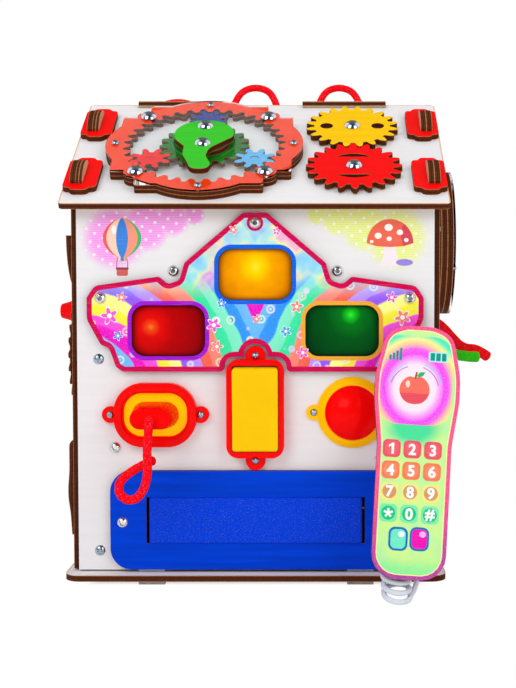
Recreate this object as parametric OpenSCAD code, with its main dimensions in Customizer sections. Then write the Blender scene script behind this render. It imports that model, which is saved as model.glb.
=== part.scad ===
// Busy house: a plywood activity toy in the shape of a small house, with play
// elements on its front wall, roof and side walls. Millimetres, +Z up, front is -Y.
// The origin is on the table, under the middle of the base plate.

/* [Plywood house] */
// Thickness of every plywood sheet
ply = 4; // [3:0.5:5]
// Width of the base plate
base_w = 250; // [246:1:280]
// Depth of the base plate
base_d = 250; // [244:1:258]
// Corner radius of the base plate
base_r = 11; // [4:1:20]
// Width over the side walls
house_w = 242; // [240:1:246]
// Depth over the front and back walls
house_d = 224; // [220:1:230]
// Height of the front and back walls
front_wall_h = 244; // [242:1:270]
// Gap between the walls' lower edges and the base plate
wall_gap = 1; // [0.5:0.5:3]
// Width of the tabs that go through the base plate
tab_w = 17.4; // [10:0.2:24]
// How far the tabs stand out below the base plate
tab_out = 5; // [2:0.5:8]
// Distance of the front and back walls' tabs from the middle
tab_x = 69; // [40:1:80]
// Distance of the side walls' tabs from the middle
tab_y = 60; // [40:1:80]
// Side of the square corner posts
post_w = 24; // [22:1:28]

/* [Roof] */
// Width of the roof panels
roof_w = 252.5; // [252:0.5:270]
// Length of a roof panel from eave to ridge
roof_len = 148.5; // [146:0.5:160]
// Pitch of the roof
roof_pitch = 32; // [30:0.5:34]
// Width of the back panel's ridge tabs
ridge_tab_w = 61; // [30:1:70]
// Distance of the ridge tabs from the middle
ridge_tab_x = 60; // [45:1:75]
// How far the ridge tabs run past the ridge
ridge_tab_out = 4.5; // [2:0.5:8]
// Width of a lock plate
lock_w = 22; // [20:1:26]
// Length of a lock plate's straight sides
lock_l = 38; // [36:1:46]
// Length of the double tabs that the lock plates hold
lock_tab_l = 28; // [20:1:32]
// Height of the tabs above the lock plates
lock_tab_rise = 7; // [3:0.5:10]
// Distance of the lower lock plates from the eave
lock_low = 34; // [26:1:40]
// Distance of the upper lock plates from the eave
lock_high = 111; // [90:1:118]

/* [Roof gears] */
// Tooth module of all gears
gear_module = 3; // [2.9:0.05:3.05]
// Teeth of the sun gear
sun_teeth = 19; // [19]
// Teeth of a planet gear
planet_teeth = 8; // [8]
// Teeth of the yellow and the red gear
pair_teeth = 20; // [18:2:20]
// Teeth of the gear on the left wall
side_teeth = 26; // [20:1:26]
// Thickness of play between teeth
backlash = 0.5; // [0.4:0.05:0.8]
// Middle of the planetary set across the roof
set_x = -36.7; // [-38:0.1:-34]
// Middle of the planetary set up the slope, from the gears' base line
set_s = 64.95; // [63.95:0.5:65.45]
// Thickness of the gear ring's two sheets
ring_ply = 3; // [3:0.25:4]
// Middle of the gear pair across the roof
pair_x = 65; // [64:0.5:66]
// Middle of the gear pair up the slope, from the gears' base line
pair_s = 66.95; // [62.95:0.5:68.95]
// Thickness of the clear covers
cover_t = 1.5; // [1:0.25:3]
// Radius of the hand hole in the gear cover
cover_hole_r = 21; // [19:0.5:24]
// Diameter of a dome bolt's head
dome_d = 11; // [10:0.5:12.5]
// Diameter of a dome bolt's shank
bolt_d = 5; // [4:0.25:5]
// Distance of the two knob bolts from the sun gear's axis
knob_bolt_s = 13; // [12:0.5:14]

/* [Light plaque] */
// Width of a window
window_w = 48; // [40:1:50]
// Height of a window
window_h = 33.4; // [28:0.2:35]
// Corner radius of a window
window_r = 9; // [5:0.5:12]
// Height of the upper window's middle
window_top_z = 205; // [204:0.5:207]
// Height of the lower windows' middle
window_low_z = 168.3; // [166:0.1:170]
// Distance of the lower windows from the middle
window_x = 56.7; // [55:0.1:58]
// How far a lens lies below the plaque's face
lens_recess = 1.5; // [0.5:0.25:3]
// Wall of a lens box
lens_wall = 1.6; // [1.2:0.1:2.4]
// Depth of a lens box behind the wall
lens_depth = 18; // [12:1:24]

/* [Switches] */
// Middle of the plug socket across the wall
socket_x = -65.5; // [-68:0.5:-64]
// Height of the plug socket's middle
socket_z = 113.2; // [111:0.2:116]
// Width of the socket housing
socket_w = 54; // [50:1:56]
// Height of the socket housing
socket_h = 42; // [38:1:44]
// How far the socket housing stands out
socket_out = 7; // [5:0.5:10]
// Width of the plug
plug_w = 31; // [28:0.5:34]
// Height of the plug
plug_h = 17.5; // [15:0.5:20]
// Height of the plug's outer end
plug_tip_h = 12.8; // [10:0.2:14]
// Length of the plug
plug_l = 27; // [24:1:30]
// Height of the rocker key's middle
key_z = 117.5; // [116:0.5:120]
// Width of the rocker housing
key_w = 37.6; // [36:0.2:42]
// Height of the rocker housing
key_h = 64.5; // [62:0.5:70]
// How far the rocker housing stands out
key_out = 9; // [7:0.5:10]
// Width of the rocker key
rocker_w = 29.6; // [26:0.2:30]
// Length of the rocker key
rocker_l = 55; // [50:1:56]
// Tilt of the rocker key at rest, its upper end out
rocker_tilt = 4; // [2:0.5:5]
// Middle of the push button across the wall
button_x = 63.5; // [62:0.5:66]
// Height of the push button's middle
button_z = 114.5; // [112:0.5:117]
// Diameter of the button's ring
button_ring_d = 46.5; // [46:0.5:50]
// Diameter of the button
button_d = 35.4; // [30:0.2:36]
// Height of the button's dome
button_dome = 9; // [6:0.5:12]
// Travel of the button
button_travel = 4; // [2:0.5:5]

/* [Blue panel] */
// Width of the blue panel
panel_w = 191; // [185:1:196]
// Height of the blue panel
panel_h = 65.3; // [60:0.1:68]
// Corner radius of the blue panel
panel_r = 14; // [6:1:20]
// Distance of the tape slots from the middle
slot_x = 70; // [60:0.5:76]
// Width of a tape slot
slot_w = 3.5; // [2.2:0.1:4]
// Width of the hook-and-loop tape
tape_w = 29.4; // [20:0.2:32]
// Thickness of the tape
tape_t = 1.6; // [1:0.1:2]

/* [Phone] */
// Length of the phone
phone_l = 160; // [156:1:164]
// Width of the phone at its upper end
phone_w = 54; // [52:1:58]
// Width of the phone at its grip
grip_w = 46.2; // [42:0.2:50]
// Thickness of the phone's two glued sheets
phone_t = 8; // [7:0.5:9]
// Backward lean of the phone
phone_lean = 14; // [13.5:0.25:14.5]
// Sideways lean of the phone
phone_roll = 3.8; // [0:0.2:4]
// Diameter of the peg that the phone hangs on
peg_d = 8; // [6:0.5:9]
// Diameter of the curly cord
curl_cord_d = 3.4; // [3:0.1:3.6]
// Outer diameter of the cord's curls
curl_d = 19.8; // [18:0.2:20]
// Number of curls
curl_count = 12; // [10:1:12]

/* [Side walls] */
// Radius of the half-round plate
half_plate_r = 37; // [25:1:38]
// Diameter of the round maze on the right wall
maze_d = 101; // [96:1:104]
// Height of the maze's middle
maze_z = 227; // [225:1:229]
// Diameter of the maze's steel ball
ball_d = 3.4; // [2.6:0.1:3.5]
// Diameter of the red rope and cords
rope_d = 5.6; // [4:0.1:5.8]

/* [Hidden] */
$fn = 48;

// Clearances: sliding joint of sheets, bolt in its hole, shaft in its bore, faces that turn
// past each other, and the line between two glued sheets
slot_gap = 0.1;
hole_gap = 0.1;
shaft_gap = 0.05;
turn_gap = 0.4;
glue_line = 0.1;
seat_gap = 0.3;
eps = 0.01;

// House levels and faces
base_top = tab_out + ply;
wall_z = base_top + wall_gap;
front_y = -house_d / 2;
inner_y = front_y + ply;
side_x = house_w / 2;
inner_x = side_x - ply;
wall_top = wall_z + front_wall_h;
ridge_z = wall_top + seat_gap + ply / cos(roof_pitch) + house_d / 2 * tan(roof_pitch);
eave_y = -roof_len * cos(roof_pitch);
eave_z = ridge_z - roof_len * sin(roof_pitch);
post_top = wall_top - 4;
doubler_z = wall_top - 2;
lock_x = side_x - ply - 2.5;
lock_s = [lock_low, lock_high];
lock_bump = 3.4;
ridge_step = 4 * ply / 4;
ridge_notch = ply / sin(2 * roof_pitch) + 0.25;
roof_corner_r = 3;

// Screws: head diameter, head height, shank diameter and length
wall_screw = [7, 1.6, 3, 18];
button_screw = [8, 2.8, 4, 12];
small_screw = [5, 1.6, 2.4, 7];
wall_screw_x = 103;
wall_screw_z = [22.8, 149.5];
side_screw_z = [106, 235];
side_screw_y = house_d / 2 - ply - post_w / 2;
plaque_screws = [[0, 238.5], [-100.8, 189.6], [100.8, 189.6]];
bare_screws = [[-53.6, 207.3], [53.6, 207.3], [-92.4, 91.2], [92.4, 91.2]];
panel_screw_places = [[-87.4, 42.2], [87.4, 42.2]];

// Windows and lamps
windows = [[0, window_top_z], [-window_x, window_low_z], [window_x, window_low_z]];
lens_fit = 0.3;
flange_lip = 3;
flange_t = 2;
led_board_t = 1.6;
led_d = 5;
led_spots = [[0, 2], [-8, -2.5], [6, 6]];

// The gears' base line follows the roof panel's middle and keeps their bolts inside the front wall
gear_line = roof_len / 2 - 0.3 * house_d;
set_up = set_s + gear_line;
pair_up = pair_s + gear_line;

// Planetary set: stub teeth, their orbit and the layers above the roof
pressure_angle = 25;
tooth_tip = 0.75;
tooth_root = 1.1;
ring_tip = 0.55;
ring_root = 1;
ring_teeth = sun_teeth + 2 * planet_teeth;
orbit_r = gear_module * (sun_teeth + planet_teeth) / 2;
pair_d = gear_module * pair_teeth;
ring_h = 2 * ring_ply + glue_line;
carrier_z = turn_gap;
carrier_t = 1.5;
gear_z = carrier_z + carrier_t + turn_gap;
gear_t = ring_h - gear_z - 0.5;
cover_top = ring_h + cover_t;
boss_r = 17;
sun_floor = 2;
boss_h = ring_h + 4 - gear_z;
knob_z = gear_z + boss_h;
planet_pin_r = 3;
ring_half_x = 60;
ring_half_s = 58.5;
ring_corner_r = 2;
ring_lobe_r = 46;
ring_reach = 67.5;
ring_bolt = [42.5, 41.3];
ring_bolt_lobe_r = 8;
ring_screw_r = 61;
dome_h = 3.4;
nut_w = 8;
nut_t = 4;
pair_z = 0.8;
planet_angles = [90, 210, 330];

// Switch parts
ear_r = 5.5;
ear_t = 3.5;
socket_ear = 29.6;
key_ear = key_h / 2 + 2.15;
button_ear = 25.3;
insert_w = 41.4;
insert_h = 28.4;
insert_t = 3;
plug_pin_d = 4.8;
plug_pin_x = 7.5;
key_pin_d = 4;
key_pin_z = 4.5;
key_rim = 0.8;
key_cut_gap = 1.5;
sleeve_d = 43;
sleeve_wall = 1.8;
sleeve_l = 18;
ring_out = 4.5;
button_flange_t = 2;
spring_d = 14;
spring_wire = 1.4;
spring_turns = 5;

// Phone place: the middle of its lower end, on its back
phone_at = [96.2, front_y - 48, 14.9];
peg_at = [103.5, 135];
peg_hole_r = peg_d / 2 + 1.2;
phone_hole_depth = 5;

// Side plates on the left wall: distance back from the middle, and height
half_plate_at = [-68, 230.6];
side_gear_at = [-56, 151.3];
side_knob_r = 28;
side_knob_h = 12.5;
wave_edge = [[-92, 93, 3], [-101, 92, 3], [-101, 74, 14], [-107.4, 60, 14], [-98, 45, 14], [-93, 29, 3]];
wave_back = -44;

// Maze on the right wall
maze_y = -30;
maze_wall_t = 4;
maze_lane_r = [12, 20, 28, 36];
maze_screw_r = 43;
maze_screw_a = 24;
maze_gate = 6;
ball_r = (maze_lane_r[2] + maze_lane_r[3]) / 2;

// Cord routes, in the order in which the cord runs: place across, distance from the wall, height
function from_wall(route) = [for (p = route) [p[0], front_y + p[1], p[2]]];
function from_side(route) = [for (p = route) [side_x + p[0], p[1], p[2]]];
plug_cord_route = from_wall([
    [-65.5, -33.2, 113.2], [-65.4, -36, 112.6], [-65.3, -38.6, 110], [-65.4, -40, 105],
    [-66, -40.2, 98], [-66.2, -40, 91], [-66, -39.6, 84], [-66.6, -39, 77.5],
    [-68.6, -38, 70.5], [-73, -37, 64.6], [-79, -36, 63], [-84, -35, 66.5],
    [-84.8, -34, 72], [-81.4, -33.4, 77.2], [-76, -33, 81.2], [-70.4, -32.8, 84.4],
    [-64.4, -32.8, 87.2]
]);
lace_step = 20;
lace_holes = [-82, -48, -24, 11, 40, 74];
lace_peaks = [19, 33, 33];
red_lace_route = from_side([
    [-4, -78, 171.4], [1, -78, 171.4], [6, -78.4, 167.4], [11, -79, 161.8], [16, -79.6, 156.8],
    [21, -80, 154.4], [26.4, -80.4, 153.8], [31.6, -80.8, 151.4], [36.6, -81, 148]
]);
green_lace_route = from_side([
    [-16, -79.6, 152], [-10, -79.6, 152], [-4, -79.6, 152], [1, -79.6, 152], [7, -82.6, 151.6],
    [13, -85.8, 150.6], [19, -88, 149.8], [24, -89, 149.4], [29, -89.4, 149.4]
]);
lace_w = 7;
lace_t = 2.2;
curl_tail = from_wall([
    [103, -43.95, 30.3], [103, -40.3, 29.4], [103.2, -37.6, 26.6], [103.5, -36.6, 21.5],
    [103.6, -37, 15.5], [102.9, -38.4, 10], [101, -40.6, 5.8]
]);
curl_end = from_wall([
    [79.7, -22, 58.2], [79.8, -17, 63], [80, -13, 70], [80, -9.5, 77.4],
    [80, -5.5, 82.8], [80, -0.4, 84], [80, 3.8, 84]
]);
curl_exit = [80, 84];
wire_d = 2;
wire_end = 2.8;
wire_routes = [
    [[0, -88, 205], [0, -70, 200], [4, -50, 150], [4, -20, 80], [4, 6, 36], [4, 9, 22]],
    [[-56.7, -88, 168], [-56, -74, 160], [-40, -50, 110], [-16, -10, 60], [-10, 5, 32], [-10, 9, 22]],
    [[56.7, -88, 168], [56, -74, 160], [44, -50, 110], [24, -10, 60], [18, 5, 32], [18, 9, 22]],
    [[-65.5, -97.2, 108], [-60, -84, 90], [-40, -60, 50], [-26, -10, 26], [-24, 4, 20], [-24, 9, 18]]
];

// Battery box on the base plate, inside
battery_box_size = [66, 60, 18];
battery_box_at = [0, 42];
battery_wall = 2;
cell_d = 14.2;
cell_l = 50.5;

// Outline helpers

function unit(v) = v / norm(v);

// Points of an arc that rounds the corner p between its neighbours a and b
function corner(a, p, b, r, n = 5) =
    let (
        u = unit(a - p),
        v = unit(b - p),
        half = acos(max(-1, min(1, u * v))) / 2,
        c = p + unit(u + v) * r / sin(half),
        s = p + u * r / tan(half) - c,
        e = p + v * r / tan(half) - c,
        a0 = atan2(s[1], s[0]),
        turn = (atan2(e[1], e[0]) - a0 + 540) % 360 - 180
    )
    [for (i = [0:n]) c + r * [cos(a0 + turn * i / n), sin(a0 + turn * i / n)]];

// Outline with each corner [x, y, r] rounded by its own radius
function rounded(pts) =
    let (n = len(pts))
    [for (i = [0:n - 1])
        let (
            a = pts[(i + n - 1) % n],
            p = pts[i],
            b = pts[(i + 1) % n]
        )
        each p[2] > 0
            ? corner([a[0], a[1]], [p[0], p[1]], [b[0], b[1]], p[2])
            : [[p[0], p[1]]]];

// A half outline of [x, y, r] completed by its mirror image across x = 0
function mirrored(pts) =
    concat(pts, [for (i = [len(pts) - 1:-1:0]) [-pts[i][0], pts[i][1], pts[i][2]]]);

module rounded_rect(w, h, r) {
    square([w - 2 * r, h], center = true);
    square([w, h - 2 * r], center = true);
    for (x = [-1, 1], y = [-1, 1])
        translate([x * (w / 2 - r), y * (h / 2 - r)])
            circle(r);
}

// Gear outlines

function involute(base_radius, r) =
    let (a = sqrt(max((r / base_radius) * (r / base_radius) - 1, 0)))
    a * 180 / PI - atan(a);

function gear_points(teeth, tip, root, play) =
    let (
        rp = teeth * gear_module / 2,
        rb = rp * cos(pressure_angle),
        ra = rp + tip * gear_module,
        rf = rp - root * gear_module,
        start = max(rb, rf),
        half = 90 / teeth - play / rp * 90 / PI,
        steps = 4,
        flank = [for (i = [0:steps]) start + (ra - start) * i / steps],
        lean = [for (r = flank) half + involute(rb, rp) - involute(rb, r)],
        foot = rf < start ? [[rf, lean[0]]] : [],
        up = concat(foot, [for (i = [0:steps]) [flank[i], lean[i]]]),
        tooth = concat(
            [for (p = up) [p[0], -p[1]]],
            [for (i = [len(up) - 1:-1:0]) up[i]]
        )
    )
    [for (k = [0:teeth - 1], p = tooth)
        p[0] * [cos(360 * k / teeth + p[1]), sin(360 * k / teeth + p[1])]];

module gear_outline(teeth) {
    polygon(gear_points(teeth, tooth_tip, tooth_root, backlash));
}

// Phase at which a planet at this angle meshes with a sun gear whose tooth points up the slope
function planet_phase(angle) =
    angle + 180 + ((angle - 90) * sun_teeth / 360 + 0.5) * 360 / planet_teeth;

// Tubes and routes

// Points of a smooth curve through the given points
function smooth(pts, steps) =
    let (n = len(pts))
    concat(
        [for (i = [0:n - 2], k = [0:steps - 1])
            let (
                a = pts[max(i - 1, 0)],
                b = pts[i],
                c = pts[i + 1],
                d = pts[min(i + 2, n - 1)],
                t = k / steps
            )
            0.5 * (2 * b + (c - a) * t + (2 * a - 5 * b + 4 * c - d) * t * t
                + (3 * b - a - 3 * c + d) * t * t * t)],
        [pts[n - 1]]
    );

function tangent(pts, i) =
    unit(pts[min(i + 1, len(pts) - 1)] - pts[max(i - 1, 0)]);

// Side direction at each point, carried along the curve without twist
function carry(pts, i, side, out) =
    i == len(pts)
        ? out
        : let (t = tangent(pts, i), s = unit(side - (side * t) * t))
          carry(pts, i + 1, s, concat(out, [s]));

// Solid swept along a route, with an elliptic section whose width lies along the side direction
module sweep(route, width, thick, sides, side) {
    n = len(route);
    across = carry(route, 0, side, []);
    rings = [for (i = [0:n - 1])
        let (t = tangent(route, i), u = across[i], v = cross(t, u))
        for (k = [0:sides - 1])
            route[i] + u * (width / 2 * cos(360 * k / sides)) + v * (thick / 2 * sin(360 * k / sides))];
    walls = [for (i = [0:n - 2], k = [0:sides - 1])
        let (a = i * sides + k, b = i * sides + (k + 1) % sides)
        each [[a, a + sides, b], [b, a + sides, b + sides]]];
    first = [for (k = [1:sides - 2]) [0, k, k + 1]];
    last = [for (k = [1:sides - 2]) (n - 1) * sides * [1, 1, 1] + [0, k + 1, k]];
    polyhedron(rings, concat(first, walls, last));
}

module tube(route, d, sides, side) {
    sweep(route, d, d, sides, side);
}

// Places on the house: x and y of the children lie in the face, z points out of it

module on_front(x, z) {
    translate([x, front_y, z])
        rotate([90, 0, 0])
            children();
}

module on_back(x, z) {
    mirror([0, 1, 0])
        on_front(x, z)
            children();
}

module on_left(y, z) {
    translate([-side_x, y, z])
        rotate([90, 0, -90])
            children();
}

module on_right(y, z) {
    translate([side_x, y, z])
        rotate([90, 0, 90])
            children();
}

module on_roof(x, s) {
    translate([0, eave_y, eave_z])
        rotate([roof_pitch, 0, 0])
            translate([x, s, 0])
                children();
}

module on_back_roof(x, s) {
    mirror([0, 1, 0])
        on_roof(x, s)
            children();
}

module on_phone() {
    translate(phone_at)
        rotate([90 - phone_lean, 0, 0])
            rotate([0, 0, -phone_roll])
                children();
}

module drill(d, depth) {
    translate([0, 0, -depth])
        cylinder(d = d, h = depth + 1);
}

// Fasteners, with the head's seat at z = 0

module cross_recess(size, depth) {
    for (a = [0, 90])
        rotate(a)
            translate([-size / 2, -size / 8, -depth])
                cube([size, size / 4, depth + 1]);
}

// Head and shank as one turned body; the head is a low dome
module turned_screw(s) {
    rotate_extrude()
        intersection() {
            union() {
                translate([0, s[1] - (s[0] * s[0] / 4 + s[1] * s[1]) / (2 * s[1])])
                    circle((s[0] * s[0] / 4 + s[1] * s[1]) / (2 * s[1]), $fn = 96);
                translate([0, -s[3]])
                    square([s[2] / 2, s[3]]);
            }
            union() {
                square([s[0] / 2, s[1] + 1]);
                translate([0, -s[3]])
                    square([s[2] / 2, s[3] + eps]);
            }
        }
}

module cross_screw(s) {
    difference() {
        turned_screw(s);
        translate([0, 0, s[1]])
            cross_recess(s[0] * 0.55, s[1] * 0.7);
    }
}

module socket_screw(s) {
    difference() {
        turned_screw(s);
        translate([0, 0, s[1] * 0.35])
            cylinder(d = s[0] * 0.45, h = s[1], $fn = 6);
    }
}

module dome_bolt(length) {
    turned_screw([dome_d, dome_h, bolt_d, length]);
}

module nut() {
    difference() {
        cylinder(d = nut_w / cos(30), h = nut_t, $fn = 6);
        translate([0, 0, -1])
            cylinder(d = bolt_d + 2 * hole_gap, h = nut_t + 2);
    }
}

// House

module wall_tabs_2d(places) {
    for (x = places)
        translate([x - tab_w / 2, 0])
            square([tab_w, wall_z + eps]);
}

module base_plate() {
    color("whitesmoke")
        translate([0, 0, tab_out])
            linear_extrude(ply)
                difference() {
                    square_base();
                    for (x = [-tab_x, tab_x], y = [-1, 1])
                        translate([x, y * (house_d / 2 - ply / 2)])
                            square([tab_w + 2 * slot_gap, ply + 2 * slot_gap], center = true);
                    for (y = [-tab_y, tab_y], x = [-1, 1])
                        translate([x * (side_x - ply / 2), y])
                            square([ply + 2 * slot_gap, tab_w + 2 * slot_gap], center = true);
                }
}

module square_base() {
    rounded_rect(base_w, base_d, base_r);
}

module flat_wall() {
    translate([0, 0, -ply])
        linear_extrude(ply) {
            translate([-inner_x, wall_z])
                square([2 * inner_x, front_wall_h]);
            wall_tabs_2d([-tab_x, tab_x]);
        }
}

module front_wall() {
    color("whitesmoke")
        on_front(0, 0)
            difference() {
                flat_wall();
                for (w = windows)
                    translate([w[0], w[1], -ply - 1])
                        linear_extrude(ply + 2)
                            rounded_rect(window_w, window_h, window_r);
                for (x = [-slot_x, slot_x])
                    translate([x, panel_mid_z, -ply - 1])
                        linear_extrude(ply + 2)
                            square([slot_w, tape_w + 1], center = true);
                for (p = concat(plaque_screws, bare_screws, panel_screw_places))
                    translate([p[0], p[1], 0])
                        drill(button_screw[2] + 2 * hole_gap, ply + 1);
                for (x = [-wall_screw_x, wall_screw_x], z = wall_screw_z)
                    translate([x, z, 0])
                        drill(wall_screw[2] + 2 * hole_gap, ply + 1);
                for (p = switch_ears)
                    translate([p[0], p[1], 0])
                        drill(small_screw[2] + 2 * hole_gap, ply + 1);
                for (x = [-plug_pin_x, plug_pin_x])
                    translate([socket_x + x, socket_z, 0])
                        drill(plug_pin_d + 1, ply + 1);
                translate([button_x, button_z, 0])
                    drill(sleeve_d + 2 * hole_gap, ply + 1);
                translate([peg_at[0], peg_at[1], 0])
                    drill(peg_d + 2 * hole_gap, ply + 1);
                translate([curl_exit[0], curl_exit[1], 0])
                    drill(curl_cord_d + 0.4, ply + 1);
            }
}

panel_mid_z = wall_z + 1 + panel_h / 2;
switch_ears = [
    [socket_x - socket_ear, socket_z], [socket_x + socket_ear, socket_z],
    [0, key_z - key_ear], [0, key_z + key_ear],
    [button_x - button_ear, button_z], [button_x + button_ear, button_z]
];

module back_wall() {
    color("whitesmoke")
        on_back(0, 0)
            difference() {
                flat_wall();
                for (x = [-wall_screw_x, wall_screw_x], z = wall_screw_z)
                    translate([x, z, 0])
                        drill(wall_screw[2] + 2 * hole_gap, ply + 1);
            }
}

// Height of the roof's underside above the side walls, at a distance from the middle
function under_roof(y) = ridge_z - abs(y) * tan(roof_pitch) - ply / cos(roof_pitch) - seat_gap;

// Outline of a gable from a given height up, drawn with y across and z up
module gable_2d(low, half) {
    polygon([
        [-half, low], [half, low], [half, under_roof(half)],
        [0, under_roof(0)], [-half, under_roof(half)]
    ]);
    for (m = [0, 1])
        mirror([m, 0])
            translate([eave_y, eave_z])
                rotate(roof_pitch)
                    for (s = lock_s)
                        translate([s, 0])
                            lock_tab_2d();
}

// A tab with an arched end that goes through the roof and a lock plate
module lock_tab_2d() {
    side = 2;
    arch = lock_tab_rise - side;
    arch_r = (lock_tab_l * lock_tab_l / 4 + arch * arch) / (2 * arch);
    root = ply + seat_gap + 4;
    translate([-lock_tab_l / 2, -root])
        square([lock_tab_l, root + ply + side]);
    intersection() {
        translate([0, ply + lock_tab_rise - arch_r])
            circle(arch_r, $fn = 96);
        translate([-lock_tab_l / 2, 0])
            square([lock_tab_l, ply + lock_tab_rise]);
    }
}

module side_sheet(x) {
    translate([x, 0, 0])
        rotate([90, 0, 90])
            linear_extrude(ply)
                children();
}

module side_wall_2d() {
    gable_2d(wall_z, house_d / 2 - ply);
    wall_tabs_2d([-tab_y, tab_y]);
}

module left_wall() {
    color("whitesmoke")
        difference() {
            side_sheet(-side_x)
                side_wall_2d();
            side_screw_holes(-1);
            on_left(side_gear_at[0], side_gear_at[1])
                drill(bolt_d + 2 * hole_gap, ply + 1);
        }
}

module right_wall() {
    color("whitesmoke")
        difference() {
            side_sheet(inner_x)
                side_wall_2d();
            side_screw_holes(1);
            for (r = [red_lace_route, green_lace_route])
                on_right(r[0][1], r[0][2])
                    drill(lace_w + 0.8, ply + 1);
        }
}

module side_screw_holes(side) {
    for (y = [-side_screw_y, side_screw_y], z = side_screw_z)
        mirror([side < 0 ? 1 : 0, 0, 0])
            on_right(y, z)
                drill(wall_screw[2] + 2 * hole_gap, ply + 1);
}

module gable_doublers() {
    color("burlywood")
        for (x = [-inner_x, inner_x - ply])
            side_sheet(x)
                gable_2d(doubler_z, house_d / 2 - ply - 1);
}

module lock_slots(length) {
    for (x = [-1, 1], s = lock_s)
        translate([x * (side_x - ply), s, 0])
            cube([2 * ply + 2 * slot_gap, lock_tab_l + 2 * slot_gap, length], center = true);
}

module roof_sheet(length) {
    translate([0, length / 2, -ply])
        linear_extrude(ply)
            rounded_rect(roof_w, length, roof_corner_r);
}

module front_roof() {
    color("whitesmoke")
        on_roof(0, 0)
            difference() {
                roof_sheet(roof_len);
                lock_slots(3 * ply);
                for (x = [-ridge_tab_x, ridge_tab_x])
                    translate([x, roof_len, 0])
                        cube([ridge_tab_w + 4 * slot_gap, 2 * ridge_notch, 3 * ply], center = true);
                for (p = roof_bolts)
                    translate([p[0], p[1], 0])
                        drill(bolt_d + 2 * hole_gap, ply + 1);
                for (a = [0:90:270])
                    translate([set_x, set_up, 0])
                        rotate(a)
                            translate([ring_screw_r, 0, 0])
                                drill(small_screw[2] + 2 * hole_gap, ply + 1);
            }
}

// Bolts of the gear ring, then the pivots of the sun, yellow and red gears
roof_bolts = concat(
    [for (x = [-1, 1], s = [-1, 1]) [set_x + x * ring_bolt[0], set_up + s * ring_bolt[1]]],
    [[set_x, set_up], [pair_x, pair_up + pair_d / 2], [pair_x, pair_up - pair_d / 2]]
);

module back_roof() {
    length = roof_len - ridge_step;
    color("whitesmoke")
        on_back_roof(0, 0)
            difference() {
                union() {
                    roof_sheet(length);
                    for (x = [-ridge_tab_x, ridge_tab_x])
                        translate([x - ridge_tab_w / 2, length - roof_corner_r, -ply])
                            cube([ridge_tab_w, roof_corner_r + ridge_step + ridge_tab_out, ply]);
                }
                lock_slots(3 * ply);
                for (x = lace_holes)
                    translate([x, roof_len - lace_step, 0])
                        drill(rope_d + 0.8, ply + 1);
            }
}

// A plate with rounded corners and a raised middle at both ends
module lock_plate() {
    w = lock_w / 2;
    l = lock_l / 2;
    quarter = [[w, l, 3.1], [w - 4.5, l, 2], [w - 6, l + lock_bump, 3.5]];
    half = concat([for (i = [2:-1:0]) [quarter[i][0], quarter[i][1], quarter[i][2]]],
        [for (c = quarter) [c[0], -c[1], c[2]]]);
    linear_extrude(ply)
        difference() {
            polygon(rounded(mirrored(half)));
            children();
        }
}

module roof_lock_plates() {
    color("red")
        for (m = [0, 1])
            mirror([0, m, 0])
                for (x = [-1, 1], s = lock_s)
                    on_roof(x * lock_x, s)
                        lock_plate()
                            translate([x * (side_x - ply - lock_x), 0])
                                square([2 * ply + 2 * slot_gap, lock_tab_l + 2 * slot_gap], center = true);
}

module corner_posts() {
    color("burlywood")
        difference() {
            for (x = [-1, 1], y = [-1, 1])
                translate([
                    x * (inner_x - post_w / 2),
                    y * (house_d / 2 - ply - post_w / 2),
                    (base_top + post_top) / 2
                ])
                    cube([post_w, post_w, post_top - base_top], center = true);
            wall_screw_places()
                drill(wall_screw[2] + 2 * hole_gap, wall_screw[3] + 1);
            for (p = concat(plaque_screws, bare_screws))
                on_front(p[0], p[1])
                    drill(button_screw[2] + 2 * hole_gap, button_screw[3] + 1);
        }
}

module wall_screw_places() {
    for (x = [-wall_screw_x, wall_screw_x], z = wall_screw_z) {
        on_front(x, z)
            children();
        on_back(x, z)
            children();
    }
    for (y = [-side_screw_y, side_screw_y], z = side_screw_z) {
        on_left(y, z)
            children();
        on_right(y, z)
            children();
    }
}

module wall_screws() {
    color("lightsteelblue")
        wall_screw_places()
            cross_screw(wall_screw);
}

// Light plaque

plaque_low = 141.5;
key_cut_x = key_w / 2 + key_cut_gap;
key_cut_z = key_z + key_h / 2 + key_cut_gap;
ear_cut_r = ear_r + 1 + key_cut_gap;

// Half outline of the plaque, from its top down the right side and round the key housing, with corner radii
plaque_half = [
    [8, 245, 4], [46, 212.6, 3], [49.4, 201.2, 4], [57, 198.6, 4], [63, 203.6, 3],
    [104.6, 197.6, 6], [109.8, 190, 4], [109.8, 175.6, 10], [101, 159.4, 3], [95.4, 157, 4],
    [91, 144.6, 4], [86.4, plaque_low, 3], [key_cut_x, plaque_low, 3],
    [key_cut_x, key_cut_z, min(6.4, key_cut_z - plaque_low - 3.2)],
    [ear_cut_r, key_cut_z, 0.6], [ear_cut_r, key_z + key_ear + ear_cut_r, ear_cut_r - 0.1]
];

module light_plaque() {
    color("mediumpurple")
        on_front(0, 0)
            difference() {
                linear_extrude(ply)
                    difference() {
                        polygon(rounded(mirrored(plaque_half)));
                        for (w = windows)
                            translate(w)
                                rounded_rect(window_w, window_h, window_r);
                    }
                for (p = plaque_screws)
                    translate([p[0], p[1], ply])
                        drill(button_screw[2] + 2 * hole_gap, ply + 1);
            }
}

module panel_screws() {
    color("silver") {
        for (p = concat(plaque_screws, panel_screw_places))
            on_front(p[0], p[1])
                translate([0, 0, ply])
                    socket_screw(button_screw);
        for (p = bare_screws)
            on_front(p[0], p[1])
                socket_screw(button_screw);
    }
}

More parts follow.
